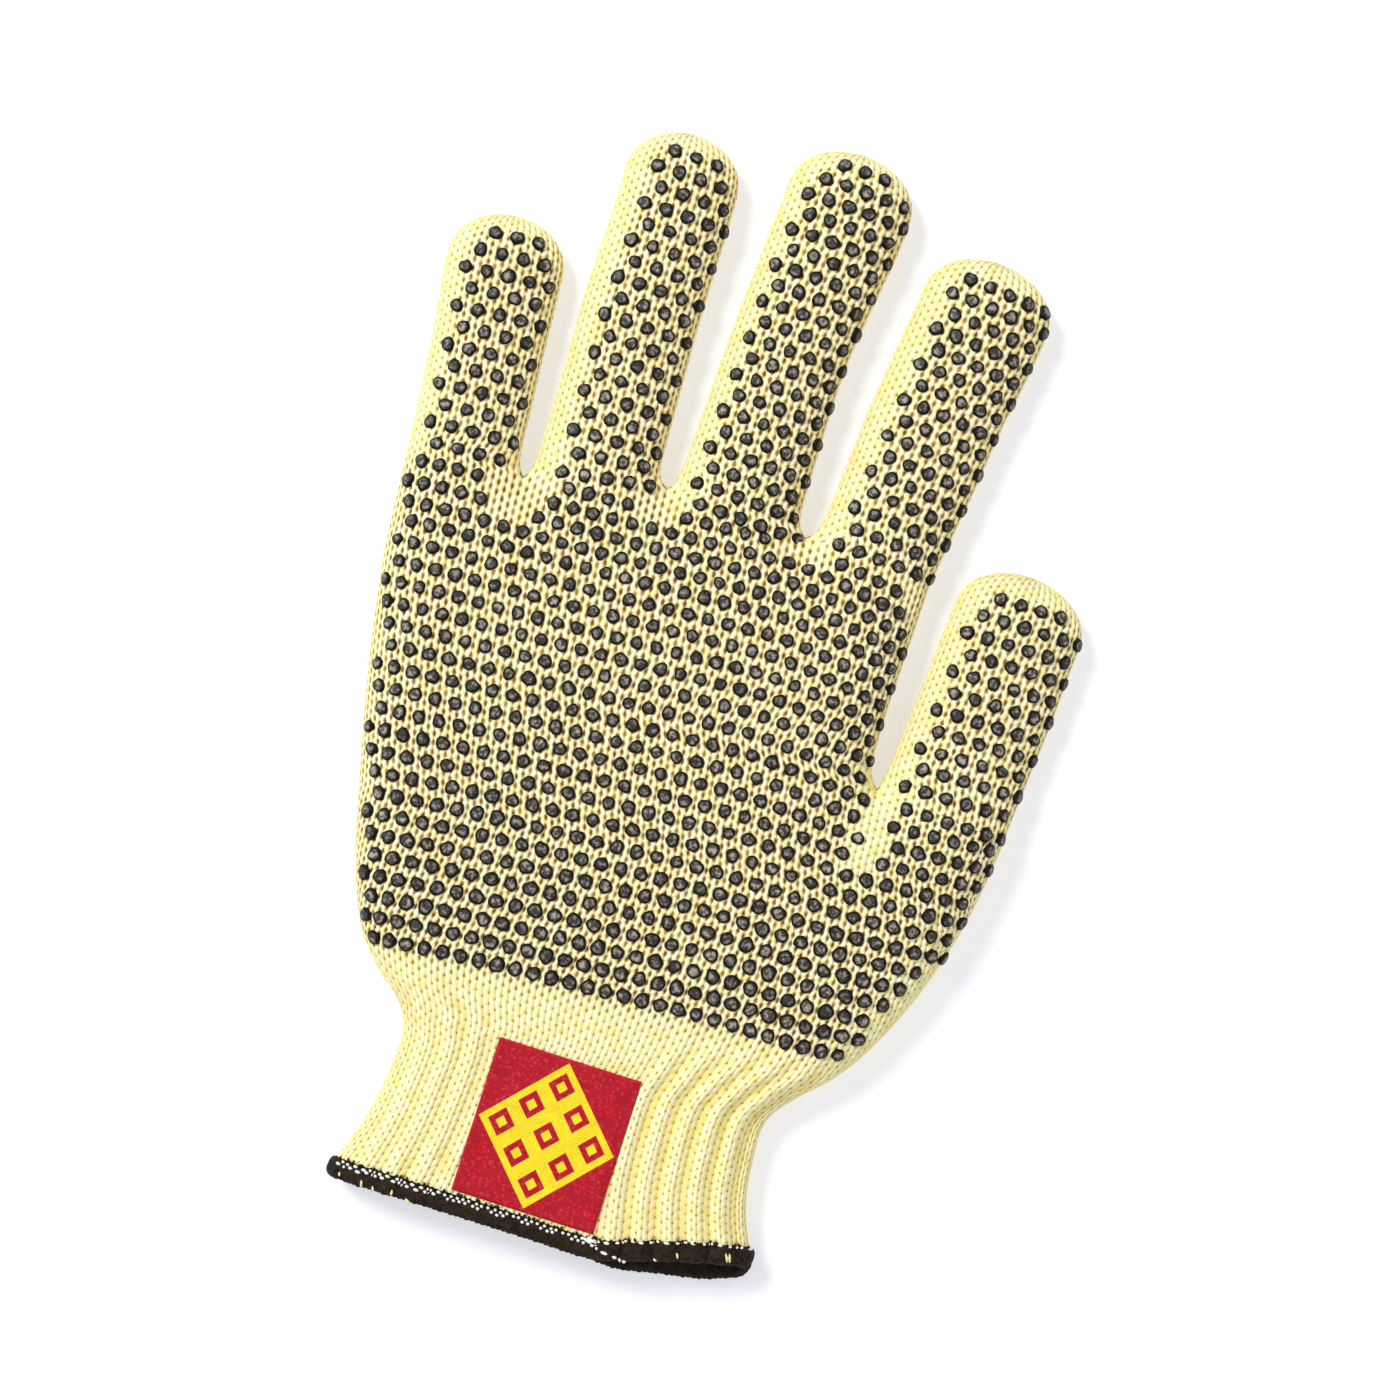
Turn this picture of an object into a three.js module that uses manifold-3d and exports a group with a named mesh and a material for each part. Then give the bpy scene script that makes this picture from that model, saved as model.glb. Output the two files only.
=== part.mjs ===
// A dotted string-knit work glove lying on a flat surface, palm side up, slightly filled with air.
// Millimetres. +X runs towards the thumb side, +Y towards the fingertips, +Z up out of the dotted side.
// The origin is on the resting surface, under the middle of the glove.
// The knit is built in the sections that it is knitted in: four fingers, thumb, palm and cuff.
// Each section is a hollow wall of knit. A hem is sewn round the cuff's mouth, and a label onto its front.

import * as THREE from "three";
import { mergeVertices } from "three/addons/utils/BufferGeometryUtils.js";
import Module from "manifold-3d";

const wasm = await Module();
wasm.setup();

// Driving sizes
const WALL = 1.8;
const JOIN_GAP = 0.3;
const REST_SHARE = 0.85;
const EDGE_ROUND = 14;
const WRIST_Y = -74;
const FINGER_HALF_THICK = 6.4;
const MOUTH_HALF_THICK = 6.9;
const THICK_FADE = 15;
const TIP_LENGTH = 11.4;
const TIP_POWER = 2.2;
const CROTCH_SLIT = 0.8;
const CROTCH_FLARE = 1.8;

// Side edges and half thickness of the palm and cuff, one row for each level, hem first
const LEVELS = [
  { y: -119, left: -54.2, right: 41.6, half: 7.0 },
  { y: -106, left: -49.0, right: 36.8, half: 6.9 },
  { y: -94, left: -46.4, right: 35.7, half: 6.8 },
  { y: -86, left: -45.8, right: 36.6, half: 6.9 },
  { y: -80, left: -48.4, right: 41.4, half: 7.2 },
  { y: -74, left: -54.6, right: 48.2, half: 7.5 },
  { y: -66, left: -60.2, right: 54.4, half: 7.8 },
  { y: -52, left: -64.9, right: 61.9, half: 8.1 },
  { y: -34, left: -68.5, right: 68.3, half: 8.2 },
  { y: -12, left: -72.2, right: 72.6, half: 8.1 },
  { y: 14, left: -75.1, right: 76.0, half: 7.7 },
  { y: 44, left: -75.8, right: 78.0, half: 6.8 },
];

// Where the palm's top edge ends at each side and dips between two fingers, little-finger side first
const MOUTH_CORNERS = [
  { x: -75.6, y: 38.0 },
  { x: -49.5, y: 38.2 },
  { x: -18.2, y: 43.4 },
  { x: 13.8, y: 40.2 },
  { x: 42.9, y: 37.4 },
];

// The index finger's side of the palm, above the dip between it and the thumb
const THUMB_CROTCH = { x: 42.3, y: -7.2 };
const INDEX_SIDE = [
  { y: -7.2, x: 42.3 },
  { y: -4, x: 40.3 },
  { y: 4, x: 40.2 },
  { y: 20, x: 41.5 },
  { y: 37.4, x: 42.9 },
];
const THUMB_MOUTH_DROP = 5.0;
const THUMB_LINE_FOOT = 37.0;

// Fingers: axis from the mouth to the tip, and the distance from it to each edge near the mouth, midway
// and at the bulge behind the tip
const FINGERS = [
  {
    name: "little_finger",
    base: [-64.1, 38.1],
    tip: [-65.3, 93.4],
    left: [11.6, 11.8, 12.7],
    right: [12.8, 13.0, 13.3],
  },
  {
    name: "ring_finger",
    base: [-33.6, 40.8],
    tip: [-32.2, 120.2],
    left: [13.8, 13.4, 11.9],
    right: [12.6, 12.7, 13.6],
  },
  {
    name: "middle_finger",
    base: [-2.9, 41.8],
    tip: [5.3, 124.8],
    left: [13.5, 13.7, 13.0],
    right: [14.0, 12.7, 15.3],
  },
  {
    name: "index_finger",
    base: [29.7, 38.8],
    tip: [40.2, 109.0],
    left: [13.3, 13.8, 12.9],
    right: [13.6, 14.7, 16.2],
  },
  {
    name: "thumb",
    base: [56.0, -9.4],
    tip: [64.3, 43.7],
    left: [12.7, 12.9, 13.4],
    right: [16.6, 16.5, 15.7],
  },
];
const MID_STATION = 0.5;

// Lengthwise folds that the elastic draws in the cuff
const FOLD_COUNT = 15;
const FOLD_DEPTH = 0.55;
const FOLD_RIGHT_FROM = 0.66;
const FOLD_LEFT_TO = 0.26;
const FOLD_LEFT_SHARE = 0.6;
const FOLD_EASE = 0.05;
const FOLD_TOP_Y = -66;
const FOLD_FULL_Y = -84;

// Hem: the line where the knit meets it, from the left side to the right, and its band
const HEM_LINE = [
  { share: 0, y: -115.6 },
  { share: 0.28, y: -117.4 },
  { share: 0.5, y: -119.0 },
  { share: 0.63, y: -120.5 },
  { share: 0.79, y: -117.6 },
  { share: 1, y: -113.6 },
];
const HEM_BACK_FROM = 0.5;
const HEM_BACK_DROP = 1.6;
const HEM_WIDTH = 4.6;
const HEM_THICK = 3.0;
const HEM_SQUARE = 0.55;

// Label sewn to the front of the cuff
const LABEL = { x: -9.5, y: -100.2, width: 32.4, height: 33.0, turn: -3.7, thick: 0.6, lift: 0.4 };

// Numbers of facets
const FINGER_AROUND = 20;
const FINGER_ROWS = 6;
const TIP_ROWS = 4;
const STRIP_COLUMNS = 6;
const PALM_ROWS = 15;
const VOID_COLUMNS = 12;
const VOID_ROWS = 9;
const CUFF_FRONT = 56;
const CUFF_BACK = 16;
const CUFF_ROWS = 7;
const LABEL_STEPS = 12;
const HEM_AROUND = 56;

// Materials
const KNIT = new THREE.MeshStandardMaterial({ color: 0xf0e08c, roughness: 0.9, metalness: 0 });
const HEM_YARN = new THREE.MeshStandardMaterial({ color: 0x2a2019, roughness: 0.85, metalness: 0 });
const LABEL_CLOTH = new THREE.MeshStandardMaterial({ color: 0xb8193a, roughness: 0.8, metalness: 0 });

const clamp01 = (t) => Math.min(1, Math.max(0, t));
const ease = (t) => clamp01(t) ** 2 * (3 - 2 * clamp01(t));
const mix = (a, b, t) => a + (b - a) * t;

// Value of a table's column at a place, on smooth cubic pieces through its rows
function fromTable(rows, key, column, at) {
  const last = rows.length - 1;
  let i = 0;
  while (i < last - 1 && at > rows[i + 1][key]) i += 1;
  const span = rows[i + 1][key] - rows[i][key];
  const t = clamp01((at - rows[i][key]) / span);
  const slope = (k) => {
    const a = rows[Math.max(0, k - 1)];
    const b = rows[Math.min(last, k + 1)];
    return (b[column] - a[column]) / (b[key] - a[key]);
  };
  const t2 = t * t;
  const t3 = t2 * t;
  const ends = (2 * t3 - 3 * t2 + 1) * rows[i][column] + (3 * t2 - 2 * t3) * rows[i + 1][column];
  return ends + span * ((t3 - 2 * t2 + t) * slope(i) + (t3 - t2) * slope(i + 1));
}

// Share of the full half thickness at a distance in from the edge: a quarter of an ellipse
const roundEdge = (distance, round) => Math.sqrt(1 - (1 - clamp01(distance / round)) ** 2);

// Height of the upper or lower side of a slightly filled tube whose lower side is pressed flat
function sideHeight(fullHalf, half, upper, inset) {
  const middle = REST_SHARE * fullHalf;
  return upper ? middle + half : Math.max(inset, middle - half);
}

// Closed body from lists of triangles' corners: shared corners are merged and empty triangles dropped
function bodyFrom(corners) {
  const geometry = new THREE.BufferGeometry();
  geometry.setAttribute("position", new THREE.Float32BufferAttribute(corners.flat(), 3));
  const merged = mergeVertices(geometry, 1e-3);
  const index = Array.from(merged.index.array);
  const kept = [];
  for (let i = 0; i < index.length; i += 3) {
    const [a, b, c] = index.slice(i, i + 3);
    if (a !== b && b !== c && a !== c) kept.push(a, b, c);
  }
  merged.setIndex(kept);
  return merged;
}

// Two triangles for each cell of a grid of points
function gridCorners(grid, flip) {
  const corners = [];
  for (let r = 0; r + 1 < grid.length; r += 1) {
    for (let c = 0; c + 1 < grid[r].length; c += 1) {
      const [a, b] = [grid[r][c], grid[r][c + 1]];
      const [d, e] = [grid[r + 1][c], grid[r + 1][c + 1]];
      corners.push(...(flip ? [a, d, b, b, d, e] : [a, b, d, b, e, d]));
    }
  }
  return corners;
}

const ring = (points) => [...points, points[0]];

// Flat end face of a ring of points, as a fan about their middle
function fanCorners(points, flip) {
  const middle = [0, 1, 2].map((k) => points.reduce((sum, p) => sum + p[k], 0) / points.length);
  const corners = [];
  points.forEach((p, i) => {
    const next = points[(i + 1) % points.length];
    corners.push(...(flip ? [middle, next, p] : [middle, p, next]));
  });
  return corners;
}

function solidOf(geometry) {
  const mesh = new wasm.Mesh({
    numProp: 3,
    vertProperties: new Float32Array(geometry.attributes.position.array),
    triVerts: new Uint32Array(geometry.index.array),
  });
  return new wasm.Manifold(mesh);
}

function geometryOf(solid) {
  const mesh = solid.getMesh();
  const geometry = new THREE.BufferGeometry();
  geometry.setAttribute("position", new THREE.BufferAttribute(new Float32Array(mesh.vertProperties), 3));
  geometry.setIndex(Array.from(mesh.triVerts));
  return geometry;
}

// Fingers and thumb

// Direction of a finger's axis, its length, and the distance from its axis to the mouth's two corners
function fingerFrame(finger, corners) {
  const [bx, by] = finger.base;
  const length = Math.hypot(finger.tip[0] - bx, finger.tip[1] - by);
  const along = [(finger.tip[0] - bx) / length, (finger.tip[1] - by) / length];
  const across = [along[1], -along[0]];
  const local = corners.map((p) => ({
    side: (p.x - bx) * across[0] + (p.y - by) * across[1],
    up: (p.x - bx) * along[0] + (p.y - by) * along[1],
  }));
  return { finger, length, along, across, local };
}

// Half width and middle of a finger at a distance up its axis
function fingerEdges(frame, s) {
  const { finger, length, local } = frame;
  const bulge = length - TIP_LENGTH;
  const t = clamp01(s / bulge);
  const edge = (sizes, corner) => {
    const lower = mix(sizes[0], sizes[1], ease(t / MID_STATION));
    const plain = t < MID_STATION ? lower : mix(sizes[1], sizes[2], ease((t - MID_STATION) / MID_STATION));
    const flare = Math.abs(corner) - CROTCH_SLIT / 2 - sizes[0];
    return plain + flare * Math.exp(-Math.max(0, s) / CROTCH_FLARE);
  };
  const left = edge(finger.left, local[0].side);
  const right = edge(finger.right, local[1].side);
  return { half: (left + right) / 2, middle: (right - left) / 2 };
}

// How much of the section is left at a place in the tip's round end
const tipShare = (frame, s, inset) => {
  const t = clamp01((s - (frame.length - TIP_LENGTH)) / (TIP_LENGTH - inset));
  return (1 - t ** TIP_POWER) ** (1 / 2);
};

// One ring of points round a finger, counter-clockwise seen from the tip
function fingerRing(frame, s, inset, baseHalfThick) {
  const { finger, along, across, local } = frame;
  const { half, middle } = fingerEdges(frame, s);
  const share = tipShare(frame, s, inset);
  const fullHalf = mix(baseHalfThick, FINGER_HALF_THICK, ease(s / THICK_FADE));
  const points = [];
  for (let i = 0; i < FINGER_AROUND; i += 1) {
    const angle = (i / FINGER_AROUND) * 2 * Math.PI;
    const side = middle + (half - inset) * share * Math.cos(angle);
    const lean = mix(local[0].up, local[1].up, (side - local[0].side) / (local[1].side - local[0].side));
    const up = s + lean * (1 - ease(s / THICK_FADE));
    const x = finger.base[0] + across[0] * side + along[0] * up;
    const y = finger.base[1] + across[1] * side + along[1] * up;
    const depth = (fullHalf - inset) * share * Math.abs(Math.sin(angle));
    points.push([x, y, sideHeight(fullHalf, depth, Math.sin(angle) >= 0, Math.min(inset, WALL))]);
  }
  return points;
}

// Hollow finger: an outer and an inner skin, both round at the tip and joined by a rim at the mouth
function fingerBody(frame, baseHalfThick) {
  const skin = (inset) => {
    const bulge = frame.length - TIP_LENGTH;
    const rings = [];
    for (let r = 0; r < FINGER_ROWS; r += 1) {
      rings.push(fingerRing(frame, JOIN_GAP + (bulge - JOIN_GAP) * (r / FINGER_ROWS), inset, baseHalfThick));
    }
    for (let r = 0; r < TIP_ROWS; r += 1) {
      const angle = (r / TIP_ROWS) * (Math.PI / 2);
      rings.push(fingerRing(frame, bulge + (TIP_LENGTH - inset) * Math.sin(angle), inset, baseHalfThick));
    }
    return rings;
  };
  const outer = skin(0);
  const inner = skin(WALL);
  const corners = [
    ...gridCorners(outer.map(ring), true),
    ...fanCorners(outer[outer.length - 1], true),
    ...gridCorners(inner.map(ring), false),
    ...fanCorners(inner[inner.length - 1], false),
    ...gridCorners([ring(inner[0]), ring(outer[0])], true),
  ];
  return bodyFrom(corners);
}

// Plug of space that runs from inside the palm out through a finger's mouth
function mouthPlug(frame, baseHalfThick, depth, taper) {
  const stations = [
    { s: -depth, narrow: taper },
    { s: -depth / 2, narrow: taper / 2 },
    { s: 0.2, narrow: 0 },
    { s: 4, narrow: 0 },
  ];
  const rings = stations.map(({ s, narrow }) => fingerRing(frame, s, WALL + narrow, baseHalfThick));
  const corners = [
    ...gridCorners(rings.map(ring), true),
    ...fanCorners(rings[0], false),
    ...fanCorners(rings[rings.length - 1], true),
  ];
  return solidOf(bodyFrom(corners));
}

// Palm and cuff

const leftEdge = (y) => fromTable(LEVELS, "y", "left", y);
const rightEdge = (y) => fromTable(LEVELS, "y", "right", y);
const fullHalfAt = (y) => fromTable(LEVELS, "y", "half", y);
const indexSide = (y) => fromTable(INDEX_SIDE, "y", "x", y);

// Distance in from the nearest edge of the palm, counting the dips between fingers as edges
function palmDistance(x, y) {
  const dips = [...MOUTH_CORNERS.slice(1, -1), THUMB_CROTCH];
  const toDips = dips.map((dip) => Math.hypot(x - dip.x, y - dip.y));
  const right = (y > THUMB_CROTCH.y ? indexSide(y) : rightEdge(y)) - x;
  return Math.max(0, Math.min(x - leftEdge(y), right, ...toDips));
}

function palmPoint(x, y, upper) {
  const fullHalf = fullHalfAt(y);
  const half = fullHalf * roundEdge(palmDistance(x, y), EDGE_ROUND);
  return [x, y, sideHeight(fullHalf, half, upper, 0)];
}

// Top edge of the palm at a share of its width: straight between the mouths' corners
function mouthLine(share) {
  const count = MOUTH_CORNERS.length - 1;
  const i = Math.min(count - 1, Math.floor(share * count));
  const t = share * count - i;
  const [a, b] = [MOUTH_CORNERS[i], MOUTH_CORNERS[i + 1]];
  return { x: mix(a.x, b.x, t), y: mix(a.y, b.y, t) };
}

// Line in the palm that runs on down from the dip beside the thumb
const thumbLine = (y) => mix(THUMB_LINE_FOOT, THUMB_CROTCH.x, (y - WRIST_Y) / (THUMB_CROTCH.y - WRIST_Y));

// Levels of the palm's rows: even steps, with one level exactly at the dip beside the thumb
function palmLevels() {
  const below = Math.round(PALM_ROWS * 0.6);
  const above = PALM_ROWS - below;
  const low = Array.from({ length: below }, (_, i) => mix(WRIST_Y, THUMB_CROTCH.y, i / below));
  const high = Array.from({ length: above + 1 }, (_, i) => i / above);
  return { low, high };
}

function palmSheets(upper) {
  const { low, high } = palmLevels();
  const columns = STRIP_COLUMNS * (MOUTH_CORNERS.length - 1);
  const shares = Array.from({ length: columns + 1 }, (_, c) => c / columns);
  const spread = (share) => mix(share, (1 - Math.cos(Math.PI * share)) / 2, 0.35);
  const across = (y, right) => shares.map((t) => palmPoint(mix(leftEdge(y), right, spread(t)), y, upper));
  const main = low.map((y) => across(y, thumbLine(y)));
  high.forEach((t) => {
    main.push(
      shares.map((share) => {
        const top = mouthLine(share);
        const y = mix(THUMB_CROTCH.y, top.y, t);
        const ends = { 0: leftEdge(y), 1: indexSide(y) };
        const between = mix(mix(leftEdge(y), indexSide(y), spread(share)), top.x, ease(t));
        return palmPoint(ends[share] ?? between, y, upper);
      }),
    );
  });
  const thumbSide = [...low, THUMB_CROTCH.y].map((y) => {
    const fade = (y - WRIST_Y) / (THUMB_CROTCH.y - WRIST_Y);
    const end = y - THUMB_MOUTH_DROP * fade ** 2;
    return Array.from({ length: STRIP_COLUMNS + 1 }, (_, c) => {
      const t = Math.sin((c / STRIP_COLUMNS) * (Math.PI / 2)) * 0.5 + (c / STRIP_COLUMNS) * 0.5;
      const py = mix(y, end, t);
      return palmPoint(mix(thumbLine(y), rightEdge(end), t), py, upper);
    });
  });
  return { main, thumbSide };
}

// Space inside the palm, below the mouths of the fingers
function palmVoid() {
  const top = MOUTH_CORNERS[1].y - WALL;
  const rings = [];
  for (let r = 0; r <= VOID_ROWS; r += 1) {
    const y = mix(WRIST_Y - 2, top - 0.4, r / VOID_ROWS);
    const inward = ease((y + 42) / 28);
    const left = leftEdge(y) + WALL;
    const right = mix(rightEdge(y) - WALL, indexSide(Math.max(y, THUMB_CROTCH.y)) - 2 * WALL, inward);
    const full = fullHalfAt(y);
    const point = (c, upper) => {
      const angle = (c / VOID_COLUMNS) * Math.PI;
      const x = mix(left, right, (1 - Math.cos(angle)) / 2);
      const near = Math.min(x - left, right - x);
      const share = roundEdge(near, EDGE_ROUND) * roundEdge(top - y, EDGE_ROUND);
      return [x, y, sideHeight(full, (full - WALL) * share, upper, WALL)];
    };
    const upperSide = Array.from({ length: VOID_COLUMNS }, (_, c) => point(VOID_COLUMNS - c, true));
    const lowerSide = Array.from({ length: VOID_COLUMNS }, (_, c) => point(c, false));
    rings.push([...upperSide, ...lowerSide]);
  }
  const corners = [
    ...gridCorners(rings.map(ring), true),
    ...fanCorners(rings[0], false),
    ...fanCorners(rings[rings.length - 1], true),
  ];
  return solidOf(bodyFrom(corners));
}

function palmBody(frames) {
  const upper = palmSheets(true);
  const lower = palmSheets(false);
  const wall = (a, b) => gridCorners([b, a], false);
  const corners = [
    ...gridCorners(upper.main, false),
    ...gridCorners(lower.main, true),
    ...gridCorners(upper.thumbSide, false),
    ...gridCorners(lower.thumbSide, true),
    ...wall(upper.main[0], lower.main[0]),
    ...wall(upper.thumbSide[0], lower.thumbSide[0]),
    ...wall(lower.main[lower.main.length - 1], upper.main[upper.main.length - 1]),
    ...wall(lower.thumbSide[lower.thumbSide.length - 1], upper.thumbSide[upper.thumbSide.length - 1]),
  ];
  let solid = solidOf(bodyFrom(corners));
  solid = solid.subtract(palmVoid());
  frames.slice(0, -1).forEach((frame) => {
    solid = solid.subtract(mouthPlug(frame, MOUTH_HALF_THICK, 16, 1.2));
  });
  solid = solid.subtract(mouthPlug(frames[frames.length - 1], fullHalfAt(THUMB_CROTCH.y), 34, 2.4));
  return geometryOf(solid);
}

// Depth of the cuff's lengthwise folds at a share of its width
function foldHeight(share, y) {
  const right = ease((share - FOLD_RIGHT_FROM) / FOLD_EASE + 0.5);
  const left = ease((FOLD_LEFT_TO - share) / FOLD_EASE + 0.5) * FOLD_LEFT_SHARE;
  const reach = ease((FOLD_TOP_Y - y) / (FOLD_TOP_Y - FOLD_FULL_Y));
  return FOLD_DEPTH * reach * Math.max(right, left) * Math.cos(share * FOLD_COUNT * 2 * Math.PI);
}

// Place on the cuff's wall: share of the width, upper or lower side, share of the way down to the hem
function cuffPoint(share, upper, down, inset, extra = 0) {
  const drop = upper ? 0 : HEM_BACK_DROP * ease((share - HEM_BACK_FROM) / (1 - HEM_BACK_FROM));
  const end = fromTable(HEM_LINE, "share", "y", share) - drop * Math.sin(Math.PI * share);
  const y = mix(WRIST_Y - JOIN_GAP, end + JOIN_GAP, down) - extra;
  const left = leftEdge(y) + inset;
  const right = rightEdge(y) - inset;
  const x = mix(left, right, share);
  const full = fullHalfAt(y);
  const near = Math.min(x - left, right - x);
  const half = (full - inset) * roundEdge(near, EDGE_ROUND);
  const fold = upper ? foldHeight(share, y) * roundEdge(near, EDGE_ROUND / 2) : 0;
  return [x, y, sideHeight(full, Math.max(0, half + fold), upper, inset)];
}

// One ring round the cuff: the upper side from right to left, then the lower side back
function cuffRing(down, inset, extra, front, back) {
  const bunch = (t) => mix(t, (1 - Math.cos(Math.PI * t)) / 2, 0.3);
  const upperSide = Array.from({ length: front }, (_, c) => cuffPoint(bunch(1 - c / front), true, down, inset, extra));
  const lowerSide = Array.from({ length: back }, (_, c) => cuffPoint(bunch(c / back), false, down, inset, extra));
  return [...upperSide, ...lowerSide];
}

function cuffBody() {
  const downs = Array.from({ length: CUFF_ROWS + 1 }, (_, r) => 1 - r / CUFF_ROWS);
  const outer = downs.map((down) => cuffRing(down, 0, 0, CUFF_FRONT, CUFF_BACK));
  const inner = downs.map((down) => cuffRing(down, WALL, 0, CUFF_FRONT, CUFF_BACK));
  const corners = [
    ...gridCorners(outer.map(ring), true),
    ...gridCorners(inner.map(ring), false),
    ...gridCorners([ring(inner[0]), ring(outer[0])], true),
    ...gridCorners([ring(outer[CUFF_ROWS]), ring(inner[CUFF_ROWS])], true),
  ];
  return bodyFrom(corners);
}

// Rounded band carried round the cuff's mouth, with its middle in the middle of the wall
function hemBody() {
  const path = cuffRing(1, WALL / 2, 2 * JOIN_GAP + HEM_WIDTH / 2, HEM_AROUND / 2, HEM_AROUND / 2);
  const profile = [
    [0, 1],
    [HEM_SQUARE, HEM_SQUARE * 1.4],
    [1, 0],
    [HEM_SQUARE, -HEM_SQUARE * 1.4],
    [0, -1],
    [-HEM_SQUARE, -HEM_SQUARE * 1.4],
    [-1, 0],
    [-HEM_SQUARE, HEM_SQUARE * 1.4],
  ];
  const sections = path.map((p, i) => {
    const before = path[(i + path.length - 1) % path.length];
    const after = path[(i + 1) % path.length];
    const run = Math.hypot(after[0] - before[0], after[2] - before[2]);
    const out = [(after[2] - before[2]) / run, -(after[0] - before[0]) / run];
    return profile.map(([a, b]) => {
      const proud = (a * HEM_THICK) / 2;
      const height = Math.max(0, p[2] + out[1] * proud);
      return [p[0] + out[0] * proud, p[1] + (b * HEM_WIDTH) / 2, height];
    });
  });
  return bodyFrom(gridCorners(ring(sections.map(ring)), true));
}

// Thin square of cloth that follows the cuff's crown
function labelBody() {
  const turn = THREE.MathUtils.degToRad(LABEL.turn);
  const sheet = (lift) =>
    Array.from({ length: LABEL_STEPS + 1 }, (_, r) =>
      Array.from({ length: LABEL_STEPS + 1 }, (__, c) => {
        const u = (c / LABEL_STEPS - 0.5) * LABEL.width;
        const v = (r / LABEL_STEPS - 0.5) * LABEL.height;
        const x = LABEL.x + u * Math.cos(turn) - v * Math.sin(turn);
        const y = LABEL.y + u * Math.sin(turn) + v * Math.cos(turn);
        const full = fullHalfAt(y);
        return [x, y, (1 + REST_SHARE) * full + lift];
      }),
    );
  const top = sheet(LABEL.lift + LABEL.thick);
  const bottom = sheet(LABEL.lift);
  const side = (grid, c) => grid.map((row) => row[c]);
  const corners = [
    ...gridCorners(top, false),
    ...gridCorners(bottom, true),
    ...gridCorners([bottom[0], top[0]], false),
    ...gridCorners([top[LABEL_STEPS], bottom[LABEL_STEPS]], false),
    ...gridCorners([side(top, 0), side(bottom, 0)], false),
    ...gridCorners([side(bottom, LABEL_STEPS), side(top, LABEL_STEPS)], false),
  ];
  return bodyFrom(corners);
}

const THUMB_MOUTH = [THUMB_CROTCH, { x: rightEdge(THUMB_CROTCH.y - THUMB_MOUTH_DROP), y: THUMB_CROTCH.y - THUMB_MOUTH_DROP }];
const frames = FINGERS.map((finger, i) => {
  const corners = finger.name === "thumb" ? THUMB_MOUTH : MOUTH_CORNERS.slice(i, i + 2);
  return fingerFrame(finger, corners);
});

const group = new THREE.Group();
function addPiece(name, geometry, material) {
  geometry.computeVertexNormals();
  const mesh = new THREE.Mesh(geometry, material);
  mesh.name = name;
  group.add(mesh);
}

frames.forEach((frame) => {
  const baseHalf = frame.finger.name === "thumb" ? fullHalfAt(THUMB_CROTCH.y) : MOUTH_HALF_THICK;
  addPiece(frame.finger.name, fingerBody(frame, baseHalf), KNIT);
});
addPiece("palm", palmBody(frames), KNIT);
addPiece("cuff", cuffBody(), KNIT);
addPiece("hem", hemBody(), HEM_YARN);
addPiece("cuff_label", labelBody(), LABEL_CLOTH);

export default group;
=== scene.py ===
"""Looks of the dotted string-knit work glove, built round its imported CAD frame.

The glove lies palm side up. +X runs towards the thumb, +Y towards the fingertips, +Z up.
Shapes are worked out in millimetres and put into meshes in metres.

The knit has two coordinates everywhere: the wale, counted across the glove from the little finger's side
to the thumb's, and the course, counted up from the hem. One whole step of each is one stitch.
"""

import math

import bpy
import numpy as np
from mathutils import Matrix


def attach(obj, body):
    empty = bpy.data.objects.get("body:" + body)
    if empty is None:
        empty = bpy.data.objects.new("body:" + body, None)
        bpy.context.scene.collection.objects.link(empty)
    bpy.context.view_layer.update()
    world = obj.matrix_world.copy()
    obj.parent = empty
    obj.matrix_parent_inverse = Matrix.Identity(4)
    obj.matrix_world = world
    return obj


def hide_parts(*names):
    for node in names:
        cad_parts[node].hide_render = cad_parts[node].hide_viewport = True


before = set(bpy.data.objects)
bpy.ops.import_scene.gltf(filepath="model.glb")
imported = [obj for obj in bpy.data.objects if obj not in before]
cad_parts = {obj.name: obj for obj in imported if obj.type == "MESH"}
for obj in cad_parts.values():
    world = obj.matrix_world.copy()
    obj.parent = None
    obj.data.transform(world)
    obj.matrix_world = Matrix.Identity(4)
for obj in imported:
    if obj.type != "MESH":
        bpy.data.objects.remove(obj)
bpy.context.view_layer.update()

MM = 0.001

# Shape of the glove, the same sizes as in the CAD source
WALL = 1.8
REST_SHARE = 0.85
EDGE_ROUND = 14.0
WRIST_Y = -74.0
FINGER_HALF_THICK = 6.4
MOUTH_HALF_THICK = 6.9
THICK_FADE = 15.0
TIP_LENGTH = 11.4
TIP_POWER = 2.2
CROTCH_FLARE = 1.8
THUMB_MOUTH_DROP = 5.0

# Level, left edge, right edge and half thickness of the palm and cuff
LEVELS = np.array(
    [
        (-119, -54.2, 41.6, 7.0),
        (-106, -49.0, 36.8, 6.9),
        (-94, -46.4, 35.7, 6.8),
        (-86, -45.8, 36.6, 6.9),
        (-80, -48.4, 41.4, 7.2),
        (-74, -54.6, 48.2, 7.5),
        (-66, -60.2, 54.4, 7.8),
        (-52, -64.9, 61.9, 8.1),
        (-34, -68.5, 68.3, 8.2),
        (-12, -72.2, 72.6, 8.1),
        (14, -75.1, 76.0, 7.7),
        (44, -75.8, 78.0, 6.8),
    ]
)
LEFT, RIGHT, HALF = 1, 2, 3

# Level and place of the index finger's side of the palm, above the dip beside the thumb
INDEX_SIDE = np.array([(-9.6, 42.3), (-6.4, 40.4), (4, 40.2), (20, 41.5), (37.4, 42.9)])

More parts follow.
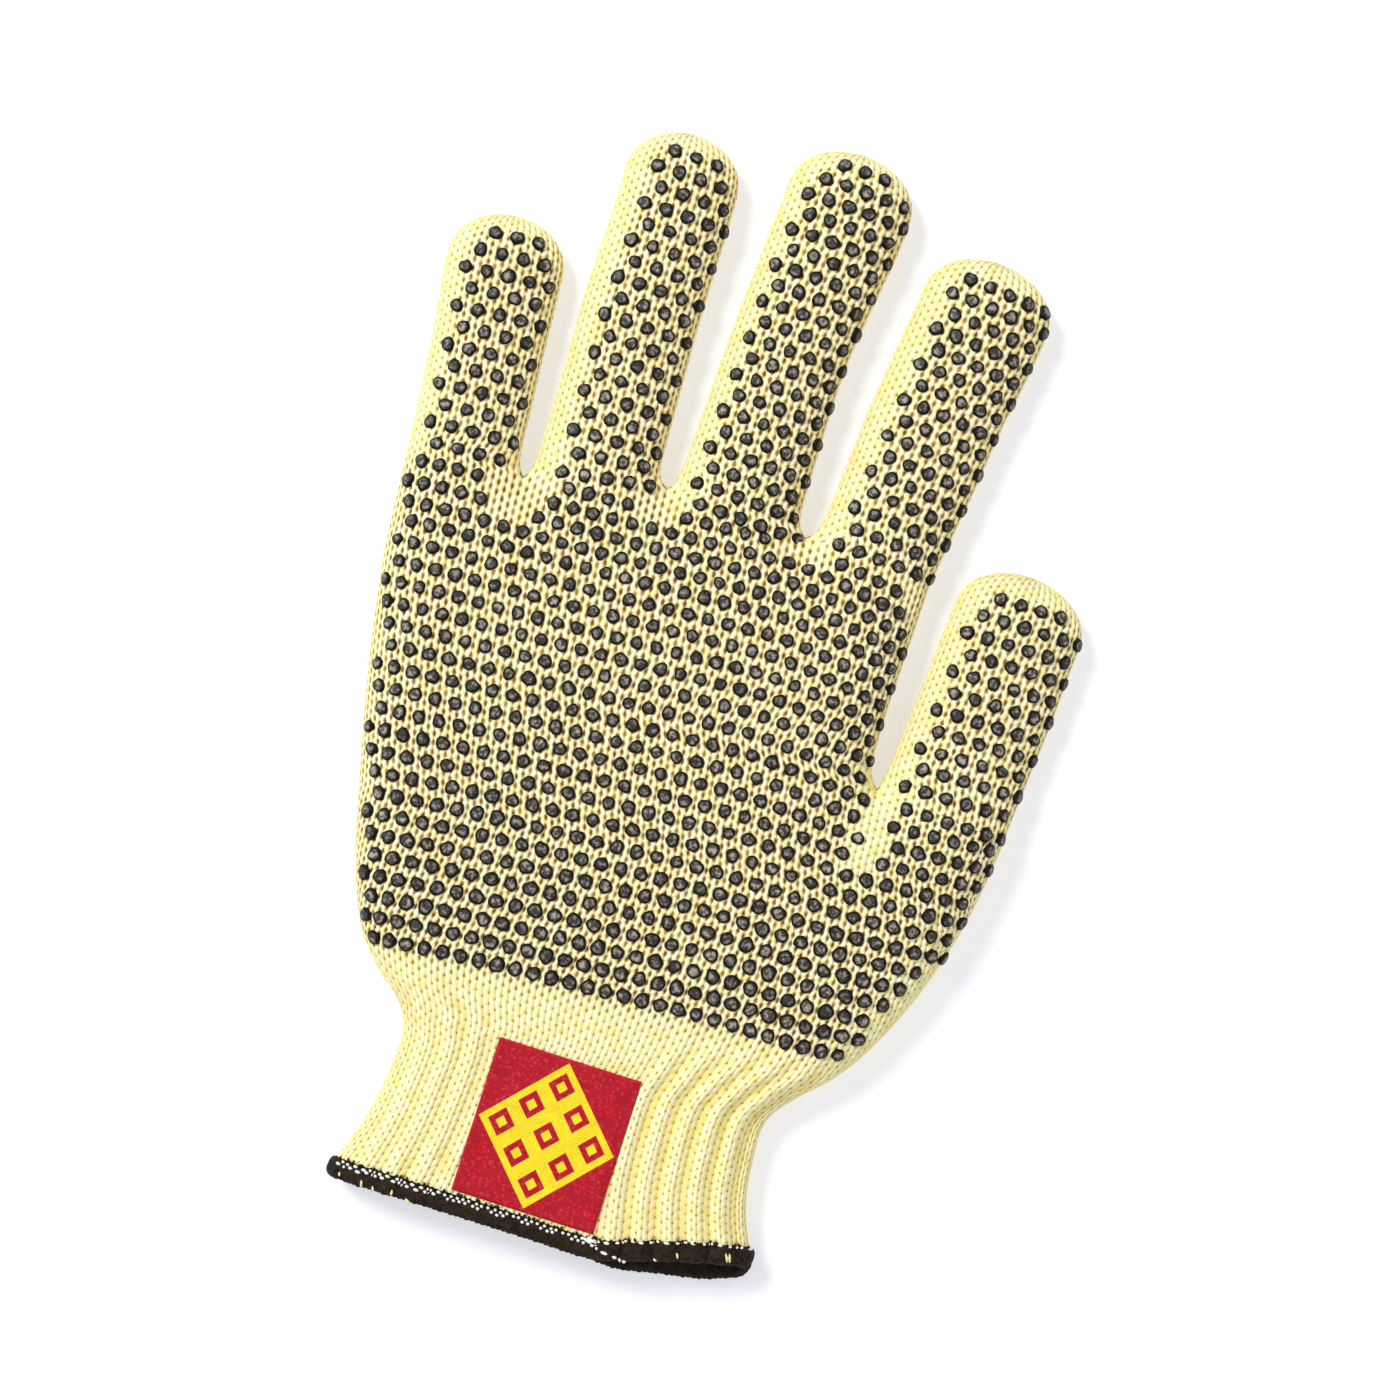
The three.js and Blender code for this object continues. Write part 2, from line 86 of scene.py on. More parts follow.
# Share of the cuff's width, level of the line where the knit meets the hem, and how much lower the back is
HEM_LINE = np.array(
    [
        (0, -116.3, 0),
        (0.12, -116.6, 0),
        (0.28, -117.4, 0),
        (0.5, -118.7, 0.3),
        (0.63, -119.5, 1.6),
        (0.7, -118.3, 3.5),
        (0.79, -116.3, 4.4),
        (0.9, -114.4, 5.0),
        (0.95, -113.9, 4.1),
        (0.985, -113.7, 2.7),
        (1, -113.6, 0),
    ]
)

# Corners of the fingers' mouths: wale, course, x and y
MOUTH_CORNERS = np.array(
    [
        (0, 74, -75.6, 38.0),
        (10, 74, -49.5, 38.2),
        (20, 76, -18.2, 43.4),
        (30, 75, 13.8, 40.2),
        (40, 75, 42.9, 37.4),
    ]
)
THUMB_WALES = (40, 51)
THUMB_COURSE = 52
THUMB_CROTCH = (42.3, -9.6)
FINGER_WALES = 10

# Courses over which the palm's rows and wales bend towards the hem, the thumb's dip and the fingers' mouths
HEM_BEND_COURSES = 11
CROTCH_FROM_COURSE = 30
MOUTH_BEND_COURSES = 22
STRIP_START = 2
STRIP_COURSES = 20
# Width for which the hem's line is worked out across a row
ROW_WIDTH = 85.0

# Axis of each finger from mouth to tip, and its edges near the mouth, midway and at the bulge
FINGERS = {
    "little_finger": {
        "base": (-64.1, 38.1),
        "tip": (-65.3, 93.4),
        "left": (11.6, 11.8, 12.7),
        "right": (12.8, 13.0, 13.3),
    },
    "ring_finger": {
        "base": (-33.6, 40.8),
        "tip": (-32.2, 120.2),
        "left": (13.8, 13.4, 11.9),
        "right": (12.6, 12.7, 13.6),
    },
    "middle_finger": {
        "base": (-2.9, 41.8),
        "tip": (5.3, 124.8),
        "left": (13.5, 13.7, 13.0),
        "right": (14.0, 12.7, 15.3),
    },
    "index_finger": {
        "base": (29.7, 38.8),
        "tip": (40.2, 109.0),
        "left": (13.3, 13.8, 12.9),
        "right": (13.6, 14.7, 16.2),
    },
    "thumb": {
        "base": (56.0, -9.4),
        "tip": (64.3, 43.7),
        "left": (12.7, 12.9, 13.4),
        "right": (16.6, 16.5, 15.7),
    },
}

# Course and level of straight rows of stitches
COURSE_LEVELS = np.array([(0, -117.6), (17, -80.5), (22, -68.8), (52, -9.6), (76, 42.32)])

# Course, and the wales that lie on the left and right outlines there: the rest run round to the back
WALE_ENDS = np.array(
    [(0, 7, 43), (16, 7, 43), (21.5, 5, 45), (30, 2, 47.6), (39, 0, 49.4), (44, 0, 51), (80, 0, 51)]
)

COURSE_PITCH = 2.06
EDGE_BUNCH = 3.9
FINGER_BUNCH = 3.1
BUNCH_FADE = 8.0
ROW_TURN = 20.0
TIP_RUN_OFF = 0.75
TIP_TURN_FROM = 8

# Lengthwise folds that the elastic draws in the cuff
FOLD_COUNT = 15
FOLD_DEPTH = 0.75
FOLD_RIGHT_FROM = 0.64
FOLD_LEFT_TO = 0.26
FOLD_LEFT_SHARE = 0.6
FOLD_EASE = 0.06
FOLD_TOP_Y = -62.0
FOLD_FULL_Y = -86.0

# Stitches: slant of a strand, its size, and how deep grooves, gaps between strands and holes are
STRAND_SLANT = 0.5
STRAND_SIZE = (1.5, 2.06)
STITCH_DEPTH = 0.75
GROOVE_SHARE = 0.26
STRAND_SHARE = 0.12
HOLE_SHARE = 0.5
HOLE_RADIUS = 0.42
CUFF_STITCH_SHARE = 0.45
CUFF_STITCH_FADE = 6
# Painted shade along the outline: its strength where the knit is thinnest, and the thickness at which it is
# gone
EDGE_SHADE = 0.7
EDGE_SHADE_THICK = 9.0
OUTLINE_THICK = 2.5

# Points on each stitch, across and along it, on the upper side and on the side it lies on
UPPER_STEPS = (8, 5)
LOWER_STEPS = (4, 5)
WELD = 0.004
CUFF_TOP_COURSE = 17

# Where the dotted area starts or ends, and the stretch over which it fades, in courses and wales. They count
# from the mouth, tip, thumb or right outline where the name says so. The left one is a share of wales
DOTTED = {
    "palm_from": (20, 3),
    "finger_from_mouth": (-3, 5),
    "finger_left_share": (0.3, 0.12),
    "before_tip": (-6, 3),
    "strip_half_wales": (1.9, 0.8),
    "strip_from": (39, 4),
    "strip_past_thumb": (5, 4),
    "before_right": (-5, 2),
    "right_up_to": (44, 8),
}


def clamp01(t):
    return np.clip(t, 0.0, 1.0)


def ease(t):
    """Smooth step: 0 below 0, 1 above 1."""
    t = clamp01(t)
    return t * t * (3 - 2 * t)


def fade_in(value, span):
    """Eased from 0 at the span's place to 1 at the end of its stretch."""
    return ease((value - span[0]) / span[1])


def fade_out(value, span):
    """Eased from 1 before the span's stretch to 0 at its place."""
    return ease((span[0] - value) / span[1])


def mix(a, b, t):
    return a + (b - a) * t


def from_table(rows, column, at):
    """Value of a table's column at each place, by a cubic between each two rows.

    The slope at a row is the slope between its two neighbours.
    """
    key, value = rows[:, 0], rows[:, column]
    last = len(key) - 1
    before = np.maximum(np.arange(last + 1) - 1, 0)
    after = np.minimum(np.arange(last + 1) + 1, last)
    slope = (value[after] - value[before]) / (key[after] - key[before])
    i = np.clip(np.searchsorted(key, at, side="right") - 1, 0, last - 1)
    span = key[i + 1] - key[i]
    t = clamp01((at - key[i]) / span)
    ends = (2 * t**3 - 3 * t**2 + 1) * value[i] + (3 * t**2 - 2 * t**3) * value[i + 1]
    return ends + span * ((t**3 - 2 * t**2 + t) * slope[i] + (t**3 - t**2) * slope[i + 1])


def level_at(course):
    return np.interp(course, COURSE_LEVELS[:, 0], COURSE_LEVELS[:, 1])


def round_edge(distance, radius):
    """Share of the full half thickness at a distance in from the edge: a quarter of an ellipse."""
    return np.sqrt(np.maximum(0, 1 - (1 - clamp01(distance / radius)) ** 2))


def unroll(share, width, bunch_left, bunch_right):
    """Place across a tube, seen from above, at a share of the way over its skin.

    The skin is as long as the width and the two bunches together. Near each edge it turns down, so the place
    moves by the exponential of the distance left, and equal steps over the skin crowd together.
    """
    left = np.maximum(bunch_left, 1e-4)
    right = np.maximum(bunch_right, 1e-4)
    whole = width + left + right
    p = share * whole
    place = p - left * (1 - np.exp(-p / left)) - right * np.exp(-(whole - p) / right)
    low = -right * np.exp(-whole / right)
    high = width + left * np.exp(-whole / left)
    return (place - low) / (high - low) * width


def palm_x(wale, course, level):
    """Place across the palm and cuff of each wale at its level."""
    left = from_table(LEVELS, LEFT, level)
    right = from_table(LEVELS, RIGHT, level)
    first = np.interp(course, WALE_ENDS[:, 0], WALE_ENDS[:, 1])
    last = np.interp(course, WALE_ENDS[:, 0], WALE_ENDS[:, 2])
    line = THUMB_WALES[0]
    seam = left + unroll((line - first) / (last - first), right - left, EDGE_BUNCH, EDGE_BUNCH)
    at_crotch = ease((course - CROTCH_FROM_COURSE) / (THUMB_COURSE - CROTCH_FROM_COURSE))
    crotch_seam = np.where(course > THUMB_COURSE, from_table(INDEX_SIDE, 1, level), THUMB_CROTCH[0])
    seam = mix(seam, crotch_seam, at_crotch)
    index_bunch = EDGE_BUNCH * ease((course - THUMB_COURSE) / BUNCH_FADE)
    share = clamp01((wale - first) / (line - first))
    whole = left + unroll(share, seam - left, EDGE_BUNCH, index_bunch)
    thumb_share = clamp01((wale - line) / (last - line))
    thumb = seam + unroll(thumb_share, right - seam, 0, EDGE_BUNCH)
    x = np.where(wale <= line, whole, thumb)
    above = ease((course - THUMB_COURSE - STRIP_START) / STRIP_COURSES) * (wale <= line)
    return mix(x, strip_x(wale, left, seam, index_bunch), above)


def strip_x(wale, left, right, index_bunch):
    """Place across the palm just below the fingers: each finger's wales fill the width of its own mouth."""
    i = np.clip((wale // FINGER_WALES).astype(int), 0, 3)
    inner = MOUTH_CORNERS[:, 2]
    start = np.where(i == 0, left, inner[i])
    end = np.where(i == 3, right, inner[i + 1])
    bunch_left = np.where(i == 0, EDGE_BUNCH, 0)
    bunch_right = np.where(i == 3, index_bunch, 0)
    share = clamp01((wale - FINGER_WALES * i) / FINGER_WALES)
    return start + unroll(share, end - start, bunch_left, bunch_right)


def palm_y(wale, course, upper):
    """Level of each stitch in the palm and cuff: straight rows, bent to the hem, mouths and thumb."""
    level = level_at(course)
    first = np.interp(course, WALE_ENDS[:, 0], WALE_ENDS[:, 1])
    last = np.interp(course, WALE_ENDS[:, 0], WALE_ENDS[:, 2])
    share = clamp01((wale - first) / (last - first))
    share = unroll(share, ROW_WIDTH, EDGE_BUNCH, EDGE_BUNCH) / ROW_WIDTH
    hem = from_table(HEM_LINE, 1, share) - COURSE_LEVELS[0, 1]
    hem -= 0 if upper else from_table(HEM_LINE, 2, share)
    lift = MOUTH_CORNERS[:, 3] - level_at(MOUTH_CORNERS[:, 1])
    raised = np.interp(wale, MOUTH_CORNERS[:, 0], lift)
    raised = raised * ease((course - THUMB_COURSE) / MOUTH_BEND_COURSES)
    fade = clamp01((level - WRIST_Y) / (THUMB_CROTCH[1] - WRIST_Y)) ** 2
    thumb_share = clamp01((wale - THUMB_WALES[0]) / (last - THUMB_WALES[0]))
    drop = THUMB_MOUTH_DROP * fade * thumb_share
    return level + hem * ease(1 - course / HEM_BEND_COURSES) + raised - drop


def palm_distance(x, y):
    """Distance in from the nearest edge of the palm, counting the dips between fingers as edges."""
    right = np.where(y > THUMB_CROTCH[1], from_table(INDEX_SIDE, 1, y), from_table(LEVELS, RIGHT, y))
    distance = np.minimum(x - from_table(LEVELS, LEFT, y), right - x)
    for dip_x, dip_y in [*MOUTH_CORNERS[1:4, 2:], THUMB_CROTCH]:
        distance = np.minimum(distance, np.hypot(x - dip_x, y - dip_y))
    return np.maximum(0, distance)


def fold_height(share, y):
    """Height of the cuff's lengthwise folds: a cosine that fades out above the wrist and in the middle."""
    right = ease((share - FOLD_RIGHT_FROM) / FOLD_EASE + 0.5)
    left = ease((FOLD_LEFT_TO - share) / FOLD_EASE + 0.5) * FOLD_LEFT_SHARE
    reach = ease((FOLD_TOP_Y - y) / (FOLD_TOP_Y - FOLD_FULL_Y))
    return FOLD_DEPTH * reach * np.maximum(right, left) * np.cos(share * FOLD_COUNT * 2 * np.pi)


def palm_heights(x, y):
    """Upper and lower heights of the palm and cuff: a quarter ellipse in from each edge, flat below."""
    full = from_table(LEVELS, HALF, y)
    distance = palm_distance(x, y)
    half = full * round_edge(distance, EDGE_ROUND)
    left = from_table(LEVELS, LEFT, y)
    share = (x - left) / np.maximum(from_table(LEVELS, RIGHT, y) - left, 1)
    fold = fold_height(share, y) * round_edge(distance, EDGE_ROUND / 2)
    middle = REST_SHARE * full
    return middle + half + fold, np.maximum(0, middle - half)


def finger_frame(name):
    """Axis, length, wales, courses and mouth corners of a finger, in its own directions."""
    size = FINGERS[name]
    base = np.array(size["base"])
    reach = np.array(size["tip"]) - base
    length = np.hypot(*reach)
    along = reach / length
    across = np.array([along[1], -along[0]])
    if name == "thumb":
        foot = THUMB_CROTCH[1] - THUMB_MOUTH_DROP
        far = from_table(LEVELS, RIGHT, np.array([foot]))[0]
        near_corner = (THUMB_WALES[0], THUMB_COURSE, *THUMB_CROTCH)
        corners = np.array([near_corner, (THUMB_WALES[1], THUMB_COURSE, far, foot)])
    else:
        i = list(FINGERS).index(name)
        corners = MOUTH_CORNERS[i : i + 2]
    local = (corners[:, 2:] - base) @ np.stack([across, along], 1)
    return {
        "name": name,
        "base": base,
        "length": length,
        "along": along,
        "across": across,
        "wales": corners[:, 0],
        "courses": corners[:, 1],
        "side": local[:, 0],
        "up": local[:, 1],
        "left": size["left"],
        "right": size["right"],
        "thick": from_table(LEVELS, HALF, np.array([THUMB_CROTCH[1]]))[0]
        if name == "thumb"
        else MOUTH_HALF_THICK,
    }


def finger_edges(f, s):
    """Half width and middle of a finger at a distance up it: three sizes eased, flared at the mouth."""
    t = clamp01(s / (f["length"] - TIP_LENGTH))

    def edge(sizes, corner):
        plain = np.where(
            t < 0.5, mix(sizes[0], sizes[1], ease(t * 2)), mix(sizes[1], sizes[2], ease(t * 2 - 1))
        )
        return plain + (abs(corner) - sizes[0]) * np.exp(-np.maximum(0, s) / CROTCH_FLARE)

    left, right = edge(f["left"], f["side"][0]), edge(f["right"], f["side"][1])
    return (left + right) / 2, (right - left) / 2


def tip_share(f, s):
    t = clamp01((s - (f["length"] - TIP_LENGTH)) / TIP_LENGTH)
    return np.sqrt(np.maximum(0, 1 - t**TIP_POWER))


def finger_height(f, s, side):
    """Half thickness of a finger: an ellipse across it, rounder at the mouth, closing at the tip."""
    half, middle = finger_edges(f, s)
    share = tip_share(f, s)
    full = mix(f["thick"], FINGER_HALF_THICK, ease(s / THICK_FADE))
    radius = mix(EDGE_ROUND, half, ease(s / THICK_FADE))
    inward = half * (1 - np.minimum(1, np.abs(side - middle) / np.maximum(half * share, 1e-3)))
    return full, full * share * round_edge(inward, radius)


def finger_place(f, wale, course):
    """Place and heights of each stitch on a finger.

    Rows start on the line between the mouth's corners and turn square to the axis further up. Across, the
    wales are spread over the skin. Near the tip the skin turns down, and some wales run over the edge.
    """
    first, last = f["wales"]
    share = clamp01((wale - first) / (last - first))
    mouth_course = mix(f["courses"][0], f["courses"][1], share)
    s = (course - mouth_course) * COURSE_PITCH
    lean_middle = f["up"].mean()
    run = (course - f["courses"].mean()) * COURSE_PITCH + lean_middle
    whole = f["length"] + FINGER_BUNCH
    axis = run - FINGER_BUNCH * np.exp(-np.maximum(0, whole - run) / FINGER_BUNCH)
    s = np.minimum(mix(s, np.minimum(axis, f["length"]), ease(s / ROW_TURN)), f["length"])
    half, middle = finger_edges(f, s)
    tip = tip_share(f, s)
    outer_left = f["name"] == "little_finger"
    outer_right = f["name"] in ("index_finger", "thumb")
    fade = ease(s / BUNCH_FADE)
    bunch_left = mix(EDGE_BUNCH if outer_left else 0, FINGER_BUNCH, fade)
    bunch_right = mix(EDGE_BUNCH if outer_right else 0, FINGER_BUNCH, fade)
    kept = clamp01(0.5 + (share - 0.5) / mix(1, tip, TIP_RUN_OFF))
    side = middle + (unroll(kept, 2 * half, bunch_left, bunch_right) - half) * tip
    full, depth = finger_height(f, s, side)
    lean = mix(f["up"][0], f["up"][1], (side - f["side"][0]) / (f["side"][1] - f["side"][0]))
    up = s + lean * (1 - ease(s / THICK_FADE))
    x = f["base"][0] + f["across"][0] * side + f["along"][0] * up
    y = f["base"][1] + f["across"][1] * side + f["along"][1] * up
    return x, y, REST_SHARE * full + depth, np.maximum(0, REST_SHARE * full - depth)


FRAMES = {name: finger_frame(name) for name in FINGERS}


def glove_place(wale, course, finger, upper_side):
    """Place, upper height and lower height of each stitch. Above its mouth a wale belongs to its finger."""
    y = palm_y(wale, course, upper_side)
    x = palm_x(wale, course, y)
    upper, lower = palm_heights(x, y)
    f = FRAMES[finger]
    first, last = f["wales"]
    mouth = mix(f["courses"][0], f["courses"][1], clamp01((wale - first) / (last - first)))
    above = (course > mouth) & (wale >= first) & (wale <= last)
    fx, fy, f_upper, f_lower = finger_place(f, wale, course)
    return [np.where(above, a, b) for a, b in ((fx, x), (fy, y), (f_upper, upper), (f_lower, lower))]


def stitch_height(wale, course):
    """Height of the knit's face from 0, in a hole, to 1.

    Each wale is two columns of slanting strands that meet in a row of V shapes. A column is round across,
    the strands are round along it, and their ends meet in a hole beside the column, half a stitch apart.
    """
    half_wale = wale * 2
    across = half_wale - np.floor(half_wale)
    mirrored = np.mod(np.floor(half_wale), 2)
    along = course + (1 - 2 * mirrored) * STRAND_SLANT * (across - 0.5)
    strand = along - np.floor(along)
    column = np.sqrt(np.maximum(0, 4 * across * (1 - across)))
    body = np.sqrt(np.maximum(0, 4 * strand * (1 - strand)))
    beside = np.minimum(across, 1 - across) * STRAND_SIZE[0]
    between = np.minimum(strand, 1 - strand) * STRAND_SIZE[1]
    hole = np.exp(-(beside**2 + between**2) / HOLE_RADIUS**2)
    return clamp01(1 - GROOVE_SHARE * (1 - column) - STRAND_SHARE * (1 - body) * column - HOLE_SHARE * hole)


def grid_normals(points):
    """Unit normals of a grid of points, from the cross product of its steps across and along."""
    normal = np.cross(np.gradient(points, axis=1), np.gradient(points, axis=0))
    return normal / np.maximum(np.linalg.norm(normal, axis=2, keepdims=True), 1e-9)


def outward_normals(points, high, low, finger, upper):
    """Normals of one side of the knit, level on the outline so that both sides agree there.

    On the outline they are square to its run and point away from the middle of the row. Near a tip they
    turn towards the finger's axis.
    """
    normal = grid_normals(points)
    if not upper:
        normal = -normal
    run = np.gradient(points, axis=0)
    level = np.stack([run[..., 1], -run[..., 0], np.zeros(run.shape[:2])], 2)
    level /= np.maximum(np.linalg.norm(level, axis=2, keepdims=True), 1e-9)
    away = points - points.mean(1, keepdims=True)
    level *= np.sign((away * level).sum(2, keepdims=True) + 1e-9)
    outline = (high - low < 1e-3)[..., None]
    normal = np.where(outline, level, normal)
    f = FRAMES[finger]
    s = (points[..., :2] - f["base"]) @ f["along"]
    end = (1 - tip_share(f, s))[..., None] * (points[..., 1:2] > f["base"][1] + TIP_TURN_FROM)
    normal = mix(normal, np.append(f["along"], 0), end)
    return normal / np.maximum(np.linalg.norm(normal, axis=2, keepdims=True), 1e-9)


def padded(values):
    return np.concatenate([[2 * values[0] - values[1]], values, [2 * values[-1] - values[-2]]])


def side_points(wales, courses, finger, upper, depth, inset):
    """Points of one side of the knit, with normals, knit coordinates, and shares of painted shade and of
    dots.

    The smooth place is moved in along its normal, by the wall for the inside, and outside by what the
    stitches leave open. One more step all round, cut off at the end, gives neighbouring patches the same
    normals.
    """
    w, c = np.meshgrid(padded(wales), padded(courses))
    x, y, high, low = glove_place(w, c, finger, upper)
    points = np.stack([x, y, high if upper else low], 2)
    normal = outward_normals(points, high, low, finger, upper)
    open_share = (1 - stitch_height(w, c)) * clamp01((high - low) / OUTLINE_THICK)
    open_share *= mix(CUFF_STITCH_SHARE, 1, ease((c - CUFF_TOP_COURSE) / CUFF_STITCH_FADE))
    moved = points - normal * (open_share * depth + inset)[..., None]
    moved[..., 2] = np.maximum(moved[..., 2], inset)
    shown = outward_normals(moved, high, low, finger, upper) * (-1 if inset else 1)
    # Painted shade: deep in the cuff's folds on the upper side, and along the outline where the knit is thin
    painted_shade = np.maximum(crease_at(x, y) * upper, EDGE_SHADE * (1 - clamp01((high - low) / EDGE_SHADE_THICK)))
    tones = np.stack([painted_shade, dotted_at(w, c, finger) * upper], 2)
    return [part[1:-1, 1:-1] for part in (moved, shown, np.stack([w, c], 2), tones)]


def crease_at(x, y):
    """How far down in one of the cuff's folds a place lies, from 0 to 1."""
    left = from_table(LEVELS, LEFT, y)
    share = (x - left) / np.maximum(from_table(LEVELS, RIGHT, y) - left, 1)
    return clamp01(-fold_height(share, y) / FOLD_DEPTH)


def dotted_at(wale, course, finger):
    """Share of 1 where dots sit: above the bare band, but not on the left edge or the tip of a finger.

    The few wales that run down from the dip beside the thumb, and the palm's lower right edge, are bare too.
    """
    f = FRAMES[finger]
    share = (wale - f["wales"][0]) / (f["wales"][1] - f["wales"][0])
    edge = fade_in(course - f["courses"].mean(), DOTTED["finger_from_mouth"])
    edge *= fade_out(share, DOTTED["finger_left_share"])
    tip = fade_in(course - tip_course(f), DOTTED["before_tip"])
    strip = fade_out(np.abs(wale - THUMB_WALES[0]), DOTTED["strip_half_wales"])
    strip *= fade_in(course, DOTTED["strip_from"])
    strip *= fade_out(course - THUMB_COURSE, DOTTED["strip_past_thumb"])
    last = np.interp(course, WALE_ENDS[:, 0], WALE_ENDS[:, 2])
    right = fade_in(wale - last, DOTTED["before_right"]) * fade_out(course, DOTTED["right_up_to"])
    return fade_in(course, DOTTED["palm_from"]) * (1 - edge) * (1 - tip) * (1 - strip) * (1 - right)


def quads(rows, columns):
    """Corner numbers of a grid's faces, counter-clockwise where columns run right and rows run up."""
    a = np.arange(rows * columns).reshape(rows, columns)
    return np.stack([a[:-1, :-1], a[:-1, 1:], a[1:, 1:], a[1:, :-1]], 2).reshape(-1, 4)


class Skin:
    """Collects grids of points with their knit coordinates, and makes one welded mesh of them."""

    def __init__(self):
        self.layers, self.faces, self.count = [[], [], [], []], [], 0

    def add(self, points, normals, coords, tones, flip):
        rows, columns = points.shape[:2]
        corners = quads(rows, columns)
        self.faces.append((corners[:, ::-1] if flip else corners) + self.count)
        for layer, values in zip(self.layers, (points, normals, coords, tones)):
            layer.append(values.reshape(rows * columns, -1))
        self.count += rows * columns

    def mesh(self, name):
        """Merges corners closer than the weld, and drops faces with fewer than three corners left."""
        points, normals, coords, tones = [np.concatenate(layer) for layer in self.layers]
        quad = np.concatenate(self.faces)
        keys = np.round(points / WELD).astype(np.int64)
        _, first, inverse = np.unique(keys, axis=0, return_index=True, return_inverse=True)
        source = np.concatenate([quad[:, [0, 1, 2]], quad[:, [0, 2, 3]]])
        triangles = inverse.reshape(-1)[source]
        a, b, c = triangles.T
        real = (a != b) & (b != c) & (a != c)
        obj = mesh_object(name, points[first], triangles[real], coords[source[real].reshape(-1)])
        obj.data.normals_split_custom_set_from_vertices(normals[first].tolist())
        # Shares of painted shade and of dots at each point, for the knit's colour
        for column, title in enumerate(("painted_shade", "dotted")):
            layer = obj.data.attributes.new(title, "FLOAT", "POINT")
            layer.data.foreach_set("value", tones[first, column].astype(np.float32))
        return obj


def mesh_object(name, points, faces, corner_uv=None):
    """Smooth mesh object from arrays of points in millimetres and faces of equal size."""
    mesh = bpy.data.meshes.new(name)
    mesh.vertices.add(len(points))
    mesh.vertices.foreach_set("co", (points * MM).astype(np.float32).ravel())
    mesh.loops.add(faces.size)
    mesh.loops.foreach_set("vertex_index", faces.astype(np.int32).ravel())
    mesh.polygons.add(len(faces))
    mesh.polygons.foreach_set("loop_start", np.arange(0, faces.size, faces.shape[1], dtype=np.int32))
    mesh.update(calc_edges=True)
    mesh.polygons.foreach_set("use_smooth", np.ones(len(faces), bool))
    if corner_uv is not None:
        layer = mesh.uv_layers.new(name="stitches")
        layer.data.foreach_set("uv", corner_uv.astype(np.float32).ravel())
    obj = bpy.data.objects.new(name, mesh)
    bpy.context.scene.collection.objects.link(obj)
    return obj


def steps(first, last, per_step):
    return np.linspace(first, last, int(round((last - first) * per_step)) + 1)


def add_wall(skin, wales, courses, finger, rims, side_rims=()):
    """Adds both sides of a patch of knit to a skin, outside and inside, and rims at its ends.

    The inside has the same columns and one row for each course. A rim joins the outer and inner end rows,
    and a side rim the outer and inner first or last columns up to a course.
    """
    for upper, per_step in ((True, UPPER_STEPS), (False, LOWER_STEPS)):
        across = steps(*wales, per_step[0])
        outer = side_points(across, steps(*courses, per_step[1]), finger, upper, STITCH_DEPTH, 0.0)
        inner = side_points(across, steps(*courses, 1), finger, upper, 0.0, WALL)
        skin.add(*outer, not upper)
        skin.add(*inner, upper)
        for row in rims:
            pair = [np.stack([inner[k][row], outer[k][row]]) for k in range(4)]
            skin.add(*pair, (row == -1) == upper)
        for column, last in side_rims:
            rows = np.arange(int(last - courses[0]) * per_step[1] + 1)
            near = rows // per_step[1]
            pair = [np.stack([inner[k][near, column], outer[k][rows, column]], 1) for k in range(4)]
            skin.add(*pair, (column == 0) != upper)


def tip_course(f):
    return int(np.ceil(f["courses"].mean() + (f["length"] + FINGER_BUNCH - f["up"].mean()) / COURSE_PITCH))


# Course of the dip between the ring and middle fingers
DIP_COURSE = 76

# Fingers above each part of the palm, with the side rims between the parts: column and last course
PALM_PARTS = {
    "palm_little_side": (("little_finger", ()), ("ring_finger", ((-1, DIP_COURSE),))),
    "palm_index_side": (("middle_finger", ((0, DIP_COURSE),)), ("index_finger", ((-1, THUMB_COURSE),))),
    "palm_thumb_side": (("thumb", ((0, THUMB_COURSE),)),),
}


def knit_pieces():
    """Every section of the knit as its own closed shell, with the node that it stands for."""
    made = []
    for name, f in FRAMES.items():
        skin = Skin()
        add_wall(skin, f["wales"], (f["courses"].max(), tip_course(f)), name, (0,))
        made.append((skin.mesh(name + "_knit"), name))
    for part, fingers in PALM_PARTS.items():
        skin = Skin()
        for finger, side_rims in fingers:
            f = FRAMES[finger]
            add_wall(skin, f["wales"], (CUFF_TOP_COURSE, f["courses"].max()), finger, (0, -1), side_rims)
        made.append((skin.mesh(part), "palm"))
    skin = Skin()
    for finger, f in FRAMES.items():
        add_wall(skin, f["wales"], (0, CUFF_TOP_COURSE), finger, (0, -1))
    made.append((skin.mesh("cuff_knit"), "cuff"))
    return made


# Rows of dots on the palm: number of the row, and its level
PALM_DOT_ROWS = np.array([(0, -66.5), (3, -53.1), (15, 0.0), (20, 21.8), (24, 37.6)])
# Place of a dot in the middle of the palm at level 0, and its drift with the level
PALM_COLUMN = {"place": 1.0, "drift": 0.053}
# Level, step between columns there, and right end of the row
PALM_ROW_ENDS = np.array(
    [
        (-67, 4.05, 46.2),
        (-60, 4.22, 53.0),
        (-55, 4.35, 52.5),
        (-51, 4.4, 56.0),
        (-43, 4.42, 62.4),
        (-34, 4.47, 67.0),
        (-25, 4.5, 67.7),
        (-12.5, 4.5, 71.0),
        (-10, 4.48, 41.0),
        (38, 4.4, 41.5),
    ]
)
PALM_DOT_COLUMNS = 20
# How rows bend: up or down at the left by level, up beside the little finger, and down at the right
LEFT_BEND = {"most": 1.1, "level": 27, "from": -25, "reach": 35}
LITTLE_RISE = {"most": 1.2, "level": 28, "fade": 4, "from": -44, "reach": 6}
RIGHT_BEND_LEVELS = np.array([(-67, 1.3), (-30, 2.6), (0, 4.0), (20, 5.2)])
RIGHT_BEND = {"from": 12, "reach": 28, "power": 1.3}
# Level above which the palm's right edge is the index finger's side
INDEX_SIDE_LEVEL = -14
ROW_END_SLACK = 1.5
